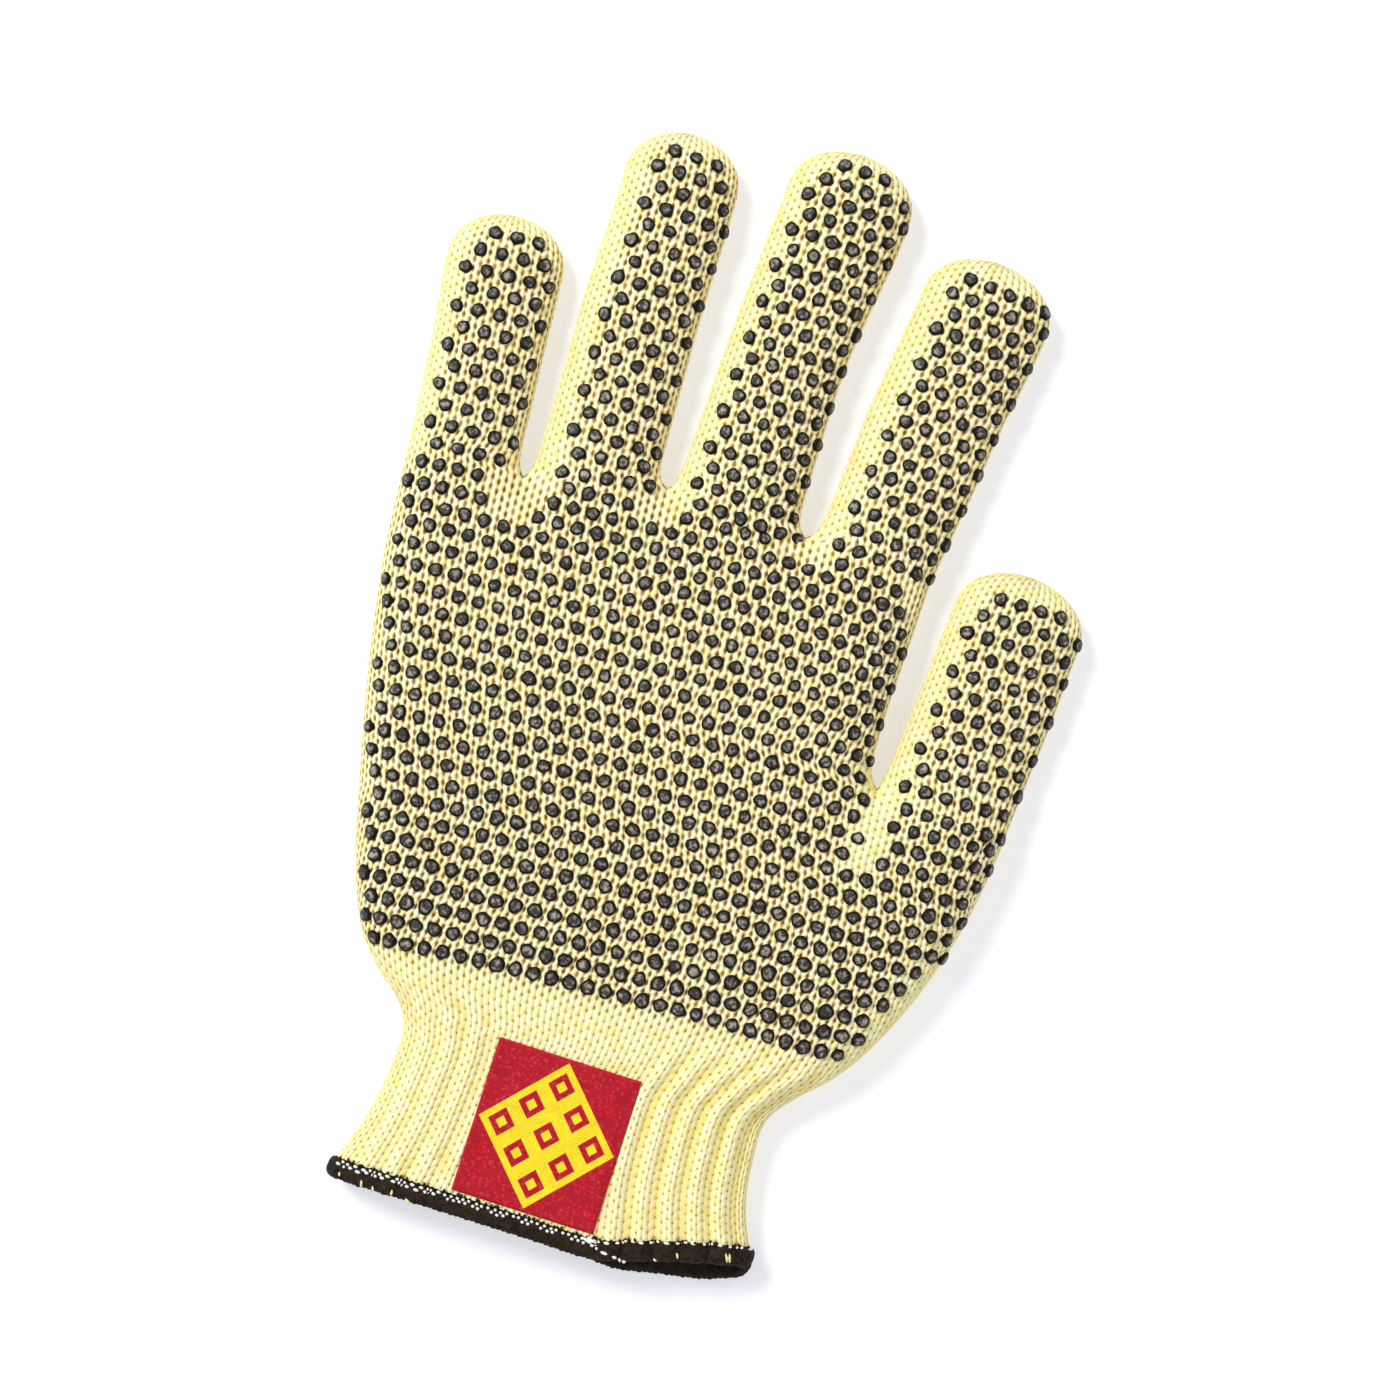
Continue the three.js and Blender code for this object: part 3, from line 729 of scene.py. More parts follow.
# Bare corner below the little finger's mouth
LITTLE_BARE = {"right": -48, "low": 38}
DOT_MARGIN = 1.6
DOT_SKIN_MARGIN = 4.0
DOT_SKIN_RIGHT = 1.9
MOUTH_BARE = (0.0, 8.4, 6.6, 6.6, 7.5)
THUMB_BARE = {"left": 40.8, "right": 46.6, "low": -27.5}

# Rows of dots on each finger, up its axis and across it: first row, step, number of rows, first dot of the
# even and odd rows, step between dots, shift towards the right with each millimetre up from a place,
# slope, the bare edge on the right, and how far the rows at the mouth are moved up
FINGER_DOTS = {
    "little_finger": (2.3, 4.35, 12, (-5.15, -7.6), 4.86, (60.0, 0.0), -0.02, 1.7, 0.0),
    "ring_finger": (0.82, 4.31, 18, (-7.6, -5.2), 4.95, (35.3, 0.083), -0.073, 0.4, 0.0),
    "middle_finger": (-1.24, 4.24, 20, (-7.27, -9.47), 4.68, (54.0, 0.096), 0.0, 0.15, 0.0),
    "index_finger": (0.55, 4.275, 16, (-8.57, -6.19), 4.63, (6.7, 0.035), -0.014, 0.15, 0.0),
    "thumb": (-3.16, 4.55, 12, (-6.1, -8.3), 4.6, (32.8, -0.08), 0.1, 0.15, 2.3),
}
FINGER_DOT_LEFT = 2.6
FINGER_DOT_TOP = 3.6
FINGER_DOT_COLUMNS = 8
FINGER_DOT_SKIN = 0.5
# How far short of the tip's curve the outer dots stop on each side, and how far below the mouth rows start
TIP_SHORT_RIGHT = 1
TIP_SHORT_LEFT = 3
MOUTH_OVERLAP = 3

DOT_RADIUS = 1.55
# Level and size of the palm's dots, as a share of the rest
PALM_DOT_SIZES = np.array([(-67, 1.1), (-48, 1.08), (-20, 1.0), (40, 0.98)])
DOT_SIZE_SPREAD = 0.05
DOT_WAVES = ((2, 0.06), (3, 0.05), (5, 0.035))
DOT_AROUND = 14
# Rings of a dot from its skirt to its crown: share of the radius, and height over the knit
DOT_PROFILE = np.array([(1.0, -0.5), (1.0, 0.12), (0.93, 0.4), (0.76, 0.58), (0.45, 0.64), (0.0, 0.6)])
DOT_TALL = (0.85, 1.1)
DOT_SEED = 7


def palm_dots():
    """Places of the palm's dots.

    Rows are level, every other one moved half a step along. They bend up above the middle and down below it
    at the left, and down at the right, and crowd at both outlines as the skin turns down.
    """
    places = []
    for row in range(int(PALM_DOT_ROWS[-1, 0]) + 1):
        level = np.interp(row, PALM_DOT_ROWS[:, 0], PALM_DOT_ROWS[:, 1])
        step = np.interp(level, PALM_ROW_ENDS[:, 0], PALM_ROW_ENDS[:, 1])
        end = np.interp(level, PALM_ROW_ENDS[:, 0], PALM_ROW_ENDS[:, 2])
        middle = PALM_COLUMN["place"] + PALM_COLUMN["drift"] * level
        columns = np.arange(-PALM_DOT_COLUMNS, PALM_DOT_COLUMNS)
        x = middle + step * (columns + 0.5 * ((row + 1) % 2))
        y = np.full_like(x, level)
        at_left = clamp01((LEFT_BEND["from"] - x) / LEFT_BEND["reach"]) ** 2
        y += LEFT_BEND["most"] * np.clip(level / LEFT_BEND["level"], -1, 1) * at_left
        at_little = ease((LITTLE_RISE["from"] - x) / LITTLE_RISE["reach"])
        y += LITTLE_RISE["most"] * ease((level - LITTLE_RISE["level"]) / LITTLE_RISE["fade"]) * at_little
        deep = np.interp(level, RIGHT_BEND_LEVELS[:, 0], RIGHT_BEND_LEVELS[:, 1])
        y -= deep * clamp01((x - RIGHT_BEND["from"]) / RIGHT_BEND["reach"]) ** RIGHT_BEND["power"]
        left = from_table(LEVELS, LEFT, y)
        p = x - left + EDGE_BUNCH
        x = left + p - EDGE_BUNCH * (1 - np.exp(-p / EDGE_BUNCH))
        index_side = from_table(INDEX_SIDE, 1, y)
        right = np.where(y < INDEX_SIDE_LEVEL, from_table(LEVELS, RIGHT, y), index_side)
        q = right - x + EDGE_BUNCH
        x = right - q + EDGE_BUNCH * (1 - np.exp(-q / EDGE_BUNCH))
        keep = (p > DOT_SKIN_MARGIN) & (x - left > DOT_MARGIN)
        keep &= (x < end + ROW_END_SLACK) & (q > DOT_SKIN_RIGHT)
        for (_, _, dip_x, dip_y), bare in zip(MOUTH_CORNERS, MOUTH_BARE):
            keep &= np.hypot(x - dip_x, y - dip_y) > bare
        keep &= (x > LITTLE_BARE["right"]) | (y < LITTLE_BARE["low"])
        keep &= (x < THUMB_BARE["left"]) | (x > THUMB_BARE["right"]) | (y < THUMB_BARE["low"])
        places.append(np.stack([x, y], 1)[keep])
    return np.concatenate(places)


def finger_dots(f):
    """Places up and across a finger of its dots, in rows that alternate and crowd at the right edge."""
    first, step, rows, starts, pitch, (lean_from, lean), slope, bare, rise = FINGER_DOTS[f["name"]]
    places = []
    for row in range(rows):
        s = np.full(FINGER_DOT_COLUMNS, first + row * step)
        s = s + rise * (1 - ease(s / THICK_FADE))
        side = starts[row % 2] + pitch * np.arange(FINGER_DOT_COLUMNS)
        side = side + lean * np.maximum(0, s - lean_from)
        half, middle = finger_edges(f, s)
        q = middle + half - side + FINGER_BUNCH
        side = middle + half - (q - FINGER_BUNCH * (1 - np.exp(-q / FINGER_BUNCH)))
        s = s + slope * side
        keep = side < middle + half * tip_share(f, s + TIP_SHORT_RIGHT) - bare
        keep &= side > middle - half * tip_share(f, s + TIP_SHORT_LEFT) + FINGER_DOT_LEFT
        keep &= (s < f["length"] - FINGER_DOT_TOP) & (q > FINGER_DOT_SKIN)
        keep &= s > f["up"].min() - MOUTH_OVERLAP
        places.append(np.stack([s, side], 1)[keep])
    return np.concatenate(places)


def finger_surface(f, s, side):
    """Point on a finger's upper side at a distance up it and across it."""
    full, depth = finger_height(f, s, side)
    lean = mix(f["up"][0], f["up"][1], (side - f["side"][0]) / (f["side"][1] - f["side"][0]))
    up = s + lean * (1 - ease(s / THICK_FADE))
    flat = f["base"] + np.outer(side, f["across"]) + np.outer(up, f["along"])
    return np.column_stack([flat, REST_SHARE * full + depth])


def palm_surface(x, y):
    return np.column_stack([x, y, palm_heights(x, y)[0]])


def frames_on(surface, a, b):
    """Centre and directions of a dot at each place: along, across and out, from small steps both ways."""
    small = 0.4
    centre = surface(a, b)
    one = surface(a + small, b) - surface(a - small, b)
    two = surface(a, b + small) - surface(a, b - small)
    out = np.cross(one, two)
    out *= np.sign(out[:, 2:])
    out /= np.linalg.norm(out, axis=1, keepdims=True)
    one /= np.linalg.norm(one, axis=1, keepdims=True)
    return centre, one, np.cross(out, one), out


def dots_mesh(name, centre, one, two, out, rng, scale=1.0):
    """Low rubber domes: a profile turned round each centre, its outline waved by three cosines."""
    count = len(centre)
    angle = np.linspace(0, 2 * np.pi, DOT_AROUND, endpoint=False)
    radius = DOT_RADIUS * scale * (1 + DOT_SIZE_SPREAD * rng.standard_normal(count).clip(-2, 2))
    shape = np.ones((count, DOT_AROUND))
    for waves, size in DOT_WAVES:
        shape += size * np.cos(waves * angle + rng.uniform(0, 2 * np.pi, (count, 1)))
    reach = radius[:, None, None] * shape[:, None, :] * DOT_PROFILE[None, :-1, 0, None]
    tall = DOT_PROFILE[None, :-1, 1, None] * rng.uniform(*DOT_TALL, (count, 1, 1))
    ring = (
        centre[:, None, None]
        + (reach * np.cos(angle))[..., None] * one[:, None, None]
        + (reach * np.sin(angle))[..., None] * two[:, None, None]
        + (tall + 0 * reach)[..., None] * out[:, None, None]
    )
    top = centre + out * DOT_PROFILE[-1, 1]
    rings = len(DOT_PROFILE) - 1
    per_dot = rings * DOT_AROUND + 1
    points = np.concatenate([ring.reshape(count, -1, 3), top[:, None]], 1).reshape(-1, 3)
    here = np.arange(rings * DOT_AROUND).reshape(rings, DOT_AROUND)
    next_ = np.roll(here, -1, 1)
    a, b, c, d = here[:-1], next_[:-1], next_[1:], here[1:]
    faces = [np.stack([a, b, c], 2).reshape(-1, 3), np.stack([a, c, d], 2).reshape(-1, 3)]
    apex = np.full(DOT_AROUND, per_dot - 1)
    foot = here[0]
    base = np.stack([np.full(DOT_AROUND - 2, foot[0]), foot[2:], foot[1:-1]], 1)
    faces += [np.stack([here[-1], next_[-1], apex], 1), base]
    faces = np.concatenate(faces)
    faces = (faces[None] + np.arange(count)[:, None, None] * per_dot).reshape(-1, 3)
    share = np.concatenate([np.repeat(DOT_PROFILE[:-1, 0], DOT_AROUND), [0.0]])
    # A random share for each dot, which sets the strength of its painted reflection
    reflection_share = np.repeat(rng.uniform(0, 1, count), per_dot)
    uv = np.column_stack([np.tile(share, count), reflection_share])
    return mesh_object(name, points, faces, uv[faces.reshape(-1)])


def dot_pieces():
    """The dots of each section, joined in one piece for each."""
    rng = np.random.default_rng(DOT_SEED)
    made = {}
    palm = palm_dots()
    size = np.interp(palm[:, 1], PALM_DOT_SIZES[:, 0], PALM_DOT_SIZES[:, 1])
    made["palm_dots"] = dots_mesh("palm_dots", *frames_on(palm_surface, *palm.T), rng, size)
    for name, f in FRAMES.items():
        places = finger_dots(f)
        held = frames_on(lambda s, side, f=f: finger_surface(f, s, side), places[:, 0], places[:, 1])
        made[name + "_dots"] = dots_mesh(name + "_dots", *held, rng)
    return made


# Hem: size of its band, how square it is, and the wraps of black thread on it
HEM_WIDTH = 4.25
HEM_THICK = 3.0
HEM_GAP = 0.3
HEM_SQUARE = 2.6
HEM_WRAPS = 168
HEM_WRAP_STEPS = 5
HEM_AROUND = 22
HEM_WRAP_DEPTH = 0.26
HEM_SLANT = 1.2
HEM_RIDGE = {"power": 0.7, "middle": 0.6}
HEM_UNEVEN = 0.16
HEM_END_CROWD = 0.3
HEM_SAMPLES = 2001
THREAD_SEED = 3
LOOP_LIFT = 0.35

# White stitches: span and step across the hem, angle on its profile, length, tilt and lift of a stitch, and
# how much further round and out they lie past a place
WHITE_ROW = {"from": -51.0, "to": 39.5, "step": 1.42, "angle": 0.86, "long": 0.75, "tilt": 0.04, "lift": 0.2}
WHITE_TURN = {"from": 6, "reach": 8, "rise": 0.14}
# Second row: shift along and round from the first, the share of its stitches that show, and its end
SECOND_ROW = {"back": 0.7, "round": 0.34, "kept": 0.75, "to": 7}
# Stitches that cross the hem towards its foot, and a lump of three raised ones at the label's corner
CROSSING = {"count": 7, "x": (6.4, 13.6), "angle": (0.5, -1.1), "long": 0.7, "tilt": 0.12, "lift": 0.36}
LUMP = np.array([(3.4, 0.9, 5.4, 0.5, 0.5), (4.0, 1.1, 6.2, 0.6, 0.55), (4.6, 0.6, 6.4, 0.95, 0.45)])
LOOPS = {"from": -51.8, "to": 38.6, "step": 1.1, "angle": 1.2, "lift": 0.2}
# Cream ends: place across and angle of both ends
CREAM_ENDS = np.array(
    [
        (-50.8, -0.1, -50.7, -0.5),
        (-46.3, -0.15, -46.1, -0.95),
        (-42.9, -0.4, -42.6, -0.95),
        (-39.8, -0.2, -39.7, -0.8),
        (-35.5, -0.6, -34.7, -1.0),
        (23.1, 0.1, 23.8, -0.5),
        (33.8, 0.35, 34.3, -0.5),
        (34.3, 0.35, 34.7, -0.5),
        (34.0, 0.1, 34.9, -0.45),
        (20.4, -0.7, 20.9, -1.0),
    ]
)
CREAM_LIFT = 0.24
# Radius and bow of each kind of thread
WHITE_THREAD = (0.33, 0.16)
BLACK_THREAD = (0.32, 0.2)
CREAM_THREAD = (0.26, 0.12)


def cuff_end(share, upper, extra, inset):
    """Point beyond the cuff's end, in the middle of its wall: where the hem's middle line runs."""
    y = from_table(HEM_LINE, 1, share) - np.where(upper, 0, from_table(HEM_LINE, 2, share)) - extra
    left = from_table(LEVELS, LEFT, y) + inset
    right = from_table(LEVELS, RIGHT, y) - inset
    x = mix(left, right, share)
    full = from_table(LEVELS, HALF, y)
    near = np.minimum(x - left, right - x)
    edge = round_edge(near, EDGE_ROUND)
    fold = fold_height(share, y) * round_edge(near, EDGE_ROUND / 2)
    half = (full - inset) * edge + np.where(upper, fold, 0)
    middle = REST_SHARE * full
    z = np.where(upper, middle + half, np.maximum(inset, middle - half))
    return np.stack([x, y, z], -1)


def hem_line(turn, extra=HEM_GAP + HEM_WIDTH / 2):
    """Place on the hem's middle line at a share of the way round: upper side from the right, then below."""
    turn = np.mod(turn, 1)
    upper = turn < 0.5
    part = np.where(upper, 1 - 2 * turn, 2 * turn - 1)
    share = mix(part, (1 - np.cos(np.pi * part)) / 2, HEM_END_CROWD)
    return cuff_end(share, upper, extra, WALL / 2)


def hem_frames(turn):
    """Middle line of the hem, its run, and the direction out of the cuff, square to the run and to Y."""
    step = 1e-3
    run = hem_line(turn + step) - hem_line(turn - step)
    run /= np.maximum(np.linalg.norm(run, axis=-1, keepdims=True), 1e-9)
    out = np.stack([run[..., 2], 0 * run[..., 0], -run[..., 0]], -1)
    out /= np.maximum(np.linalg.norm(out, axis=-1, keepdims=True), 1e-9)
    return hem_line(turn), run, out


def hem_shape(angle):
    """Out and down distances of the band's profile at an angle: a squared-off ellipse."""
    c, s = np.cos(angle), np.sin(angle)
    scale = (np.abs(c) ** HEM_SQUARE + np.abs(s) ** HEM_SQUARE) ** (-1 / HEM_SQUARE)
    return HEM_THICK / 2 * c * scale, HEM_WIDTH / 2 * s * scale


def hem_point(turn, angle, lift=0.0):
    """Point on the band: its profile carried round the cuff's mouth, and lifted along its own radius."""
    middle, _, out = hem_frames(turn)
    proud, tall = hem_shape(angle)
    size = np.hypot(proud, tall)
    proud, tall = proud * (1 + lift / size), tall * (1 + lift / size)
    point = middle + out * proud[..., None]
    point[..., 1] += tall
    point[..., 2] = np.maximum(point[..., 2], 0.0)
    return point


def even_turns(count):
    """Shares of the way round the hem that lie at even distances."""
    fine = np.linspace(0, 1, HEM_SAMPLES)
    line = hem_line(np.minimum(fine, 0.999999))
    run = np.concatenate([[0], np.cumsum(np.linalg.norm(np.diff(line, axis=0), axis=1))])
    return np.interp(np.arange(count) / count * run[-1], run, fine)


def closed_quads(rows, columns):
    """Corner numbers of a grid that closes on itself both ways."""
    a = np.arange(rows * columns).reshape(rows, columns)
    b, c = np.roll(a, -1, 1), np.roll(a, -1, 0)
    d = np.roll(b, -1, 0)
    return np.stack([a, b, d, c], 2).reshape(-1, 4)


def hem_band():
    """Overlocked band: thread wraps cross it at a slant, each a ridge of its own height."""
    turns = even_turns(HEM_WRAPS * HEM_WRAP_STEPS)
    angle = np.linspace(0, 2 * np.pi, HEM_AROUND, endpoint=False)
    t, a = np.meshgrid(turns, angle, indexing="ij")
    number = np.arange(len(turns))[:, None] / HEM_WRAP_STEPS + HEM_SLANT * np.sin(a)
    ridge = np.abs(np.sin(np.pi * number))
    uneven = 0.5 + 0.5 * np.sin(np.floor(number) * 2.4 + 1.3)
    lift = HEM_WRAP_DEPTH * (ridge ** HEM_RIDGE["power"] - HEM_RIDGE["middle"])
    lift = lift + HEM_UNEVEN * (uneven - 0.5)
    points = hem_point(t, a, lift)
    return mesh_object("hem_band", points.reshape(-1, 3), closed_quads(*t.shape))


def strands(name, starts, ends, radius, bow, up, around=6, rings=5):
    """Short strands: half-round-ended tubes from start to end, bowed outwards in the middle."""
    t = np.linspace(0, 1, rings)
    axis = ends - starts
    length = np.maximum(np.linalg.norm(axis, axis=1, keepdims=True), 1e-6)
    axis = axis / length
    side = np.cross(axis, up)
    side /= np.maximum(np.linalg.norm(side, axis=1, keepdims=True), 1e-9)
    top = np.cross(side, axis)
    count = len(starts)
    bowed = top[:, None] * (bow * 4 * t * (1 - t))[:, None]
    middle = starts[:, None] + (ends - starts)[:, None] * t[:, None] + bowed
    thick = radius * np.sqrt(np.maximum(0.04, 1 - (2 * t - 1) ** 4))
    angle = np.linspace(0, 2 * np.pi, around, endpoint=False)
    ring = (
        middle[:, :, None]
        + (thick[:, None] * np.cos(angle))[None, :, :, None] * side[:, None, None]
        + (thick[:, None] * np.sin(angle))[None, :, :, None] * top[:, None, None]
    )
    points = ring.reshape(count, -1, 3)
    here = np.arange(rings * around).reshape(rings, around)
    turn = np.roll(here, -1, 1)
    body = np.stack([here[:-1], here[1:], turn[1:], turn[:-1]], 2).reshape(-1, 4)
    body = np.concatenate([body[:, [0, 1, 2]], body[:, [0, 2, 3]]])
    fan = np.arange(1, around - 1)
    low = np.stack([np.zeros_like(fan), fan, fan + 1], 1)
    last = (rings - 1) * around
    high = np.stack([np.full_like(fan, last), last + fan + 1, last + fan], 1)
    faces = np.concatenate([body, low, high])
    faces = (faces[None] + np.arange(count)[:, None, None] * rings * around).reshape(-1, 3)
    return mesh_object(name, points.reshape(-1, 3), faces)


def turn_at(x):
    """Share of the way round the hem of a place across its upper side."""
    line_turns = np.linspace(0.0, 0.4999, 600)
    across = hem_line(line_turns)[:, 0]
    return np.interp(x, across[::-1], line_turns[::-1])


def spread_threads(name, places, radius, bow):
    """Strands between pairs of places on the band, each a place across and an angle round the profile."""
    x1, a1, x2, a2, lift = places.T
    starts = hem_point(turn_at(x1), a1, lift)
    ends = hem_point(turn_at(x2), a2, lift)
    _, _, out = hem_frames(turn_at((x1 + x2) / 2))
    return strands(name, starts, ends, radius, bow, out)


def hem_threads():
    """Thread on the hem: two rows of white stitches, black loops over the knit, and short cream ends."""
    rng = np.random.default_rng(THREAD_SEED)
    x = np.arange(WHITE_ROW["from"], WHITE_ROW["to"], WHITE_ROW["step"])
    x += rng.uniform(-0.2, 0.2, len(x))
    wander = rng.uniform(-0.08, 0.08, len(x))
    rise = WHITE_TURN["rise"] * ease((x - WHITE_TURN["from"]) / WHITE_TURN["reach"])
    angle = WHITE_ROW["angle"] + wander + rise
    far_x, far_angle = x + WHITE_ROW["long"], angle - WHITE_ROW["tilt"]
    row = np.column_stack([x, angle, far_x, far_angle, WHITE_ROW["lift"] + rise])
    shift = (SECOND_ROW["back"], SECOND_ROW["round"])
    second = row - [*shift, *shift, 0.0]
    second = second[(rng.uniform(0, 1, len(x)) < SECOND_ROW["kept"]) & (x < SECOND_ROW["to"])]
    crossing = np.linspace(0, 1, CROSSING["count"])
    x, angle = mix(*CROSSING["x"], crossing), mix(*CROSSING["angle"], crossing)
    far_x, far_angle = x + CROSSING["long"], angle - CROSSING["tilt"]
    across = np.column_stack([x, angle, far_x, far_angle, CROSSING["lift"] + 0 * x])
    white = spread_threads("white_stitches", np.concatenate([row, second, across, LUMP]), *WHITE_THREAD)
    x = np.arange(LOOPS["from"], LOOPS["to"], LOOPS["step"])
    x += rng.uniform(-0.3, 0.3, len(x))
    lean = rng.uniform(-0.5, 0.5, len(x))
    starts = hem_point(turn_at(x), LOOPS["angle"] + 0 * x, LOOPS["lift"] + 0 * x)
    foot, _, out = hem_frames(turn_at(x + lean))
    ends = foot + out * (WALL / 2 + LOOP_LIFT)
    ends[:, 1] += HEM_WIDTH / 2 + HEM_GAP + rng.uniform(0.1, 0.8, len(x))
    black = strands("black_loops", starts, ends, *BLACK_THREAD, out)
    lifts = np.full(len(CREAM_ENDS), CREAM_LIFT)
    cream = spread_threads("cream_ends", np.column_stack([CREAM_ENDS, lifts]), *CREAM_THREAD)
    return white, black, cream


# Label: its middle, size and turn, and how it lies on the cuff
LABEL = {"x": -9.5, "y": -100.15, "width": 32.4, "height": 34.9, "turn": -3.7, "thick": 0.6, "lift": 0.25}
LABEL_STEPS = 90
LABEL_SKIRT = 0.1
LABEL_EDGE = 0.7
LABEL_WAVE = 0.16
LABEL_RIPPLE = 0.1
WAVE_FROM_EDGE = 5


def label_sheet():
    """Woven label: a turned rectangle laid over the cuff's crown, waved a little, with rounded edges."""
    u, v = np.meshgrid(np.linspace(-1, 1, LABEL_STEPS + 1), np.linspace(-1, 1, LABEL_STEPS + 1))
    turn = math.radians(LABEL["turn"])
    a, b = u * LABEL["width"] / 2, v * LABEL["height"] / 2
    x = LABEL["x"] + a * math.cos(turn) - b * math.sin(turn)
    y = LABEL["y"] + a * math.sin(turn) + b * math.cos(turn)
    crown = palm_heights(x, y)[0]
    edge = np.minimum(LABEL["width"] / 2 - np.abs(a), LABEL["height"] / 2 - np.abs(b))
    wave = LABEL_WAVE * np.sin(a * 0.42 + 0.6) * np.cos(b * 0.31) + LABEL_RIPPLE * np.sin(b * 0.8 + a * 0.2)
    rounded = LABEL["thick"] * round_edge(edge, LABEL_EDGE)
    low = crown + LABEL["lift"] - LABEL_SKIRT
    top = low + LABEL_SKIRT + rounded + wave * round_edge(edge, WAVE_FROM_EDGE)
    points = np.concatenate([np.stack([x, y, z], 2).reshape(-1, 3) for z in (top, low)])
    n = LABEL_STEPS + 1
    face = quads(n, n)
    grid = np.arange(n * n).reshape(n, n)
    border = np.concatenate([grid[0, :-1], grid[:-1, -1], grid[-1, :0:-1], grid[:0:-1, 0]])
    after = np.roll(border, -1)
    sides = np.stack([border + n * n, after + n * n, after, border], 1)
    faces = np.concatenate([face, face[:, ::-1] + n * n, sides])
    uv = np.tile(np.stack([u, v], 2).reshape(-1, 2), (2, 1))
    return mesh_object("label_cloth", points, faces, uv[faces.reshape(-1)])


class Nodes:
    """Short way to place and join nodes in a material or a group."""

    def __init__(self, tree):
        self.tree = tree

    def add(self, kind, inputs=None, **settings):
        node = self.tree.nodes.new(kind)
        for key, value in settings.items():
            setattr(node, key, value)
        for key, value in (inputs or {}).items():
            self.put(node.inputs[key], value)
        return node

    def put(self, socket, value):
        if isinstance(value, bpy.types.NodeSocket):
            self.tree.links.new(value, socket)
        else:
            socket.default_value = value

    def math(self, operation, a, b=0.0, c=0.0):
        return self.add("ShaderNodeMath", {0: a, 1: b, 2: c}, operation=operation).outputs[0]

    def ramp(self, value, low, high):
        """0 to 1 between two values, eased."""
        inputs = {"Value": value, "From Min": low, "From Max": high}
        return self.add("ShaderNodeMapRange", inputs, interpolation_type="SMOOTHSTEP").outputs[0]

    def blend(self, share, a, b):
        node = self.add("ShaderNodeMix", {0: share}, data_type="RGBA")
        self.put(node.inputs[6], a)
        self.put(node.inputs[7], b)
        return node.outputs[2]

    def parts(self, vector):
        return self.add("ShaderNodeSeparateXYZ", {0: vector}).outputs

    def uv(self):
        return self.add("ShaderNodeUVMap", uv_map="stitches").outputs[0]

    def noise(self, where, scale, detail=2.0, roughness=0.5):
        inputs = {"Vector": where, "Scale": scale, "Detail": detail, "Roughness": roughness}
        return self.add("ShaderNodeTexNoise", inputs).outputs[0]


def group(name, inputs, outputs):
    """Empty shader node group with named inputs (name, kind, starting value) and outputs (name, kind)."""
    tree = bpy.data.node_groups.new(name, "ShaderNodeTree")
    for title, kind, value in inputs:
        socket = tree.interface.new_socket(title, in_out="INPUT", socket_type="NodeSocket" + kind)
        if value is not None:
            socket.default_value = value
    for title, kind in outputs:
        tree.interface.new_socket(title, in_out="OUTPUT", socket_type="NodeSocket" + kind)
    n = Nodes(tree)
    return tree, n, n.add("NodeGroupInput").outputs, n.add("NodeGroupOutput").inputs


def colour(red, green, blue):
    """Linear colour with alpha from a screen colour of 0 to 255."""
    screen = np.array([red, green, blue]) / 255
    linear = np.where(screen <= 0.04045, screen / 12.92, ((screen + 0.055) / 1.055) ** 2.4)
    return (*[float(value) for value in linear], 1.0)


def mottle_group():
    """Uneven tone of yarn, thread and rubber: coarse and fine noise that lighten and darken a colour."""
    sockets = [("Colour", "Color", (0.5, 0.5, 0.5, 1)), ("Coarse Size", "Float", 100.0)]
    sockets += [("Fine Size", "Float", 900.0), ("Strength", "Float", 0.2)]
    tree, n, given, out = group("tone_mottle", sockets, [("Colour", "Color"), ("Grain", "Float")])
    where = n.add("ShaderNodeTexCoord").outputs["Object"]
    coarse = n.noise(where, given["Coarse Size"], 3.0)
    fine = n.noise(where, given["Fine Size"], 2.0)
    grain = n.math("ADD", n.math("MULTIPLY", coarse, 0.5), n.math("MULTIPLY", fine, 0.5))
    centred = n.math("SUBTRACT", grain, 0.5)
    scale = n.math("MULTIPLY_ADD", centred, n.math("MULTIPLY", given["Strength"], 4.0), 1.0)
    scaled = n.add("ShaderNodeVectorMath", {0: given["Colour"], "Scale": scale}, operation="SCALE")
    n.put(out["Colour"], scaled.outputs[0])
    n.put(out["Grain"], fine)
    return tree


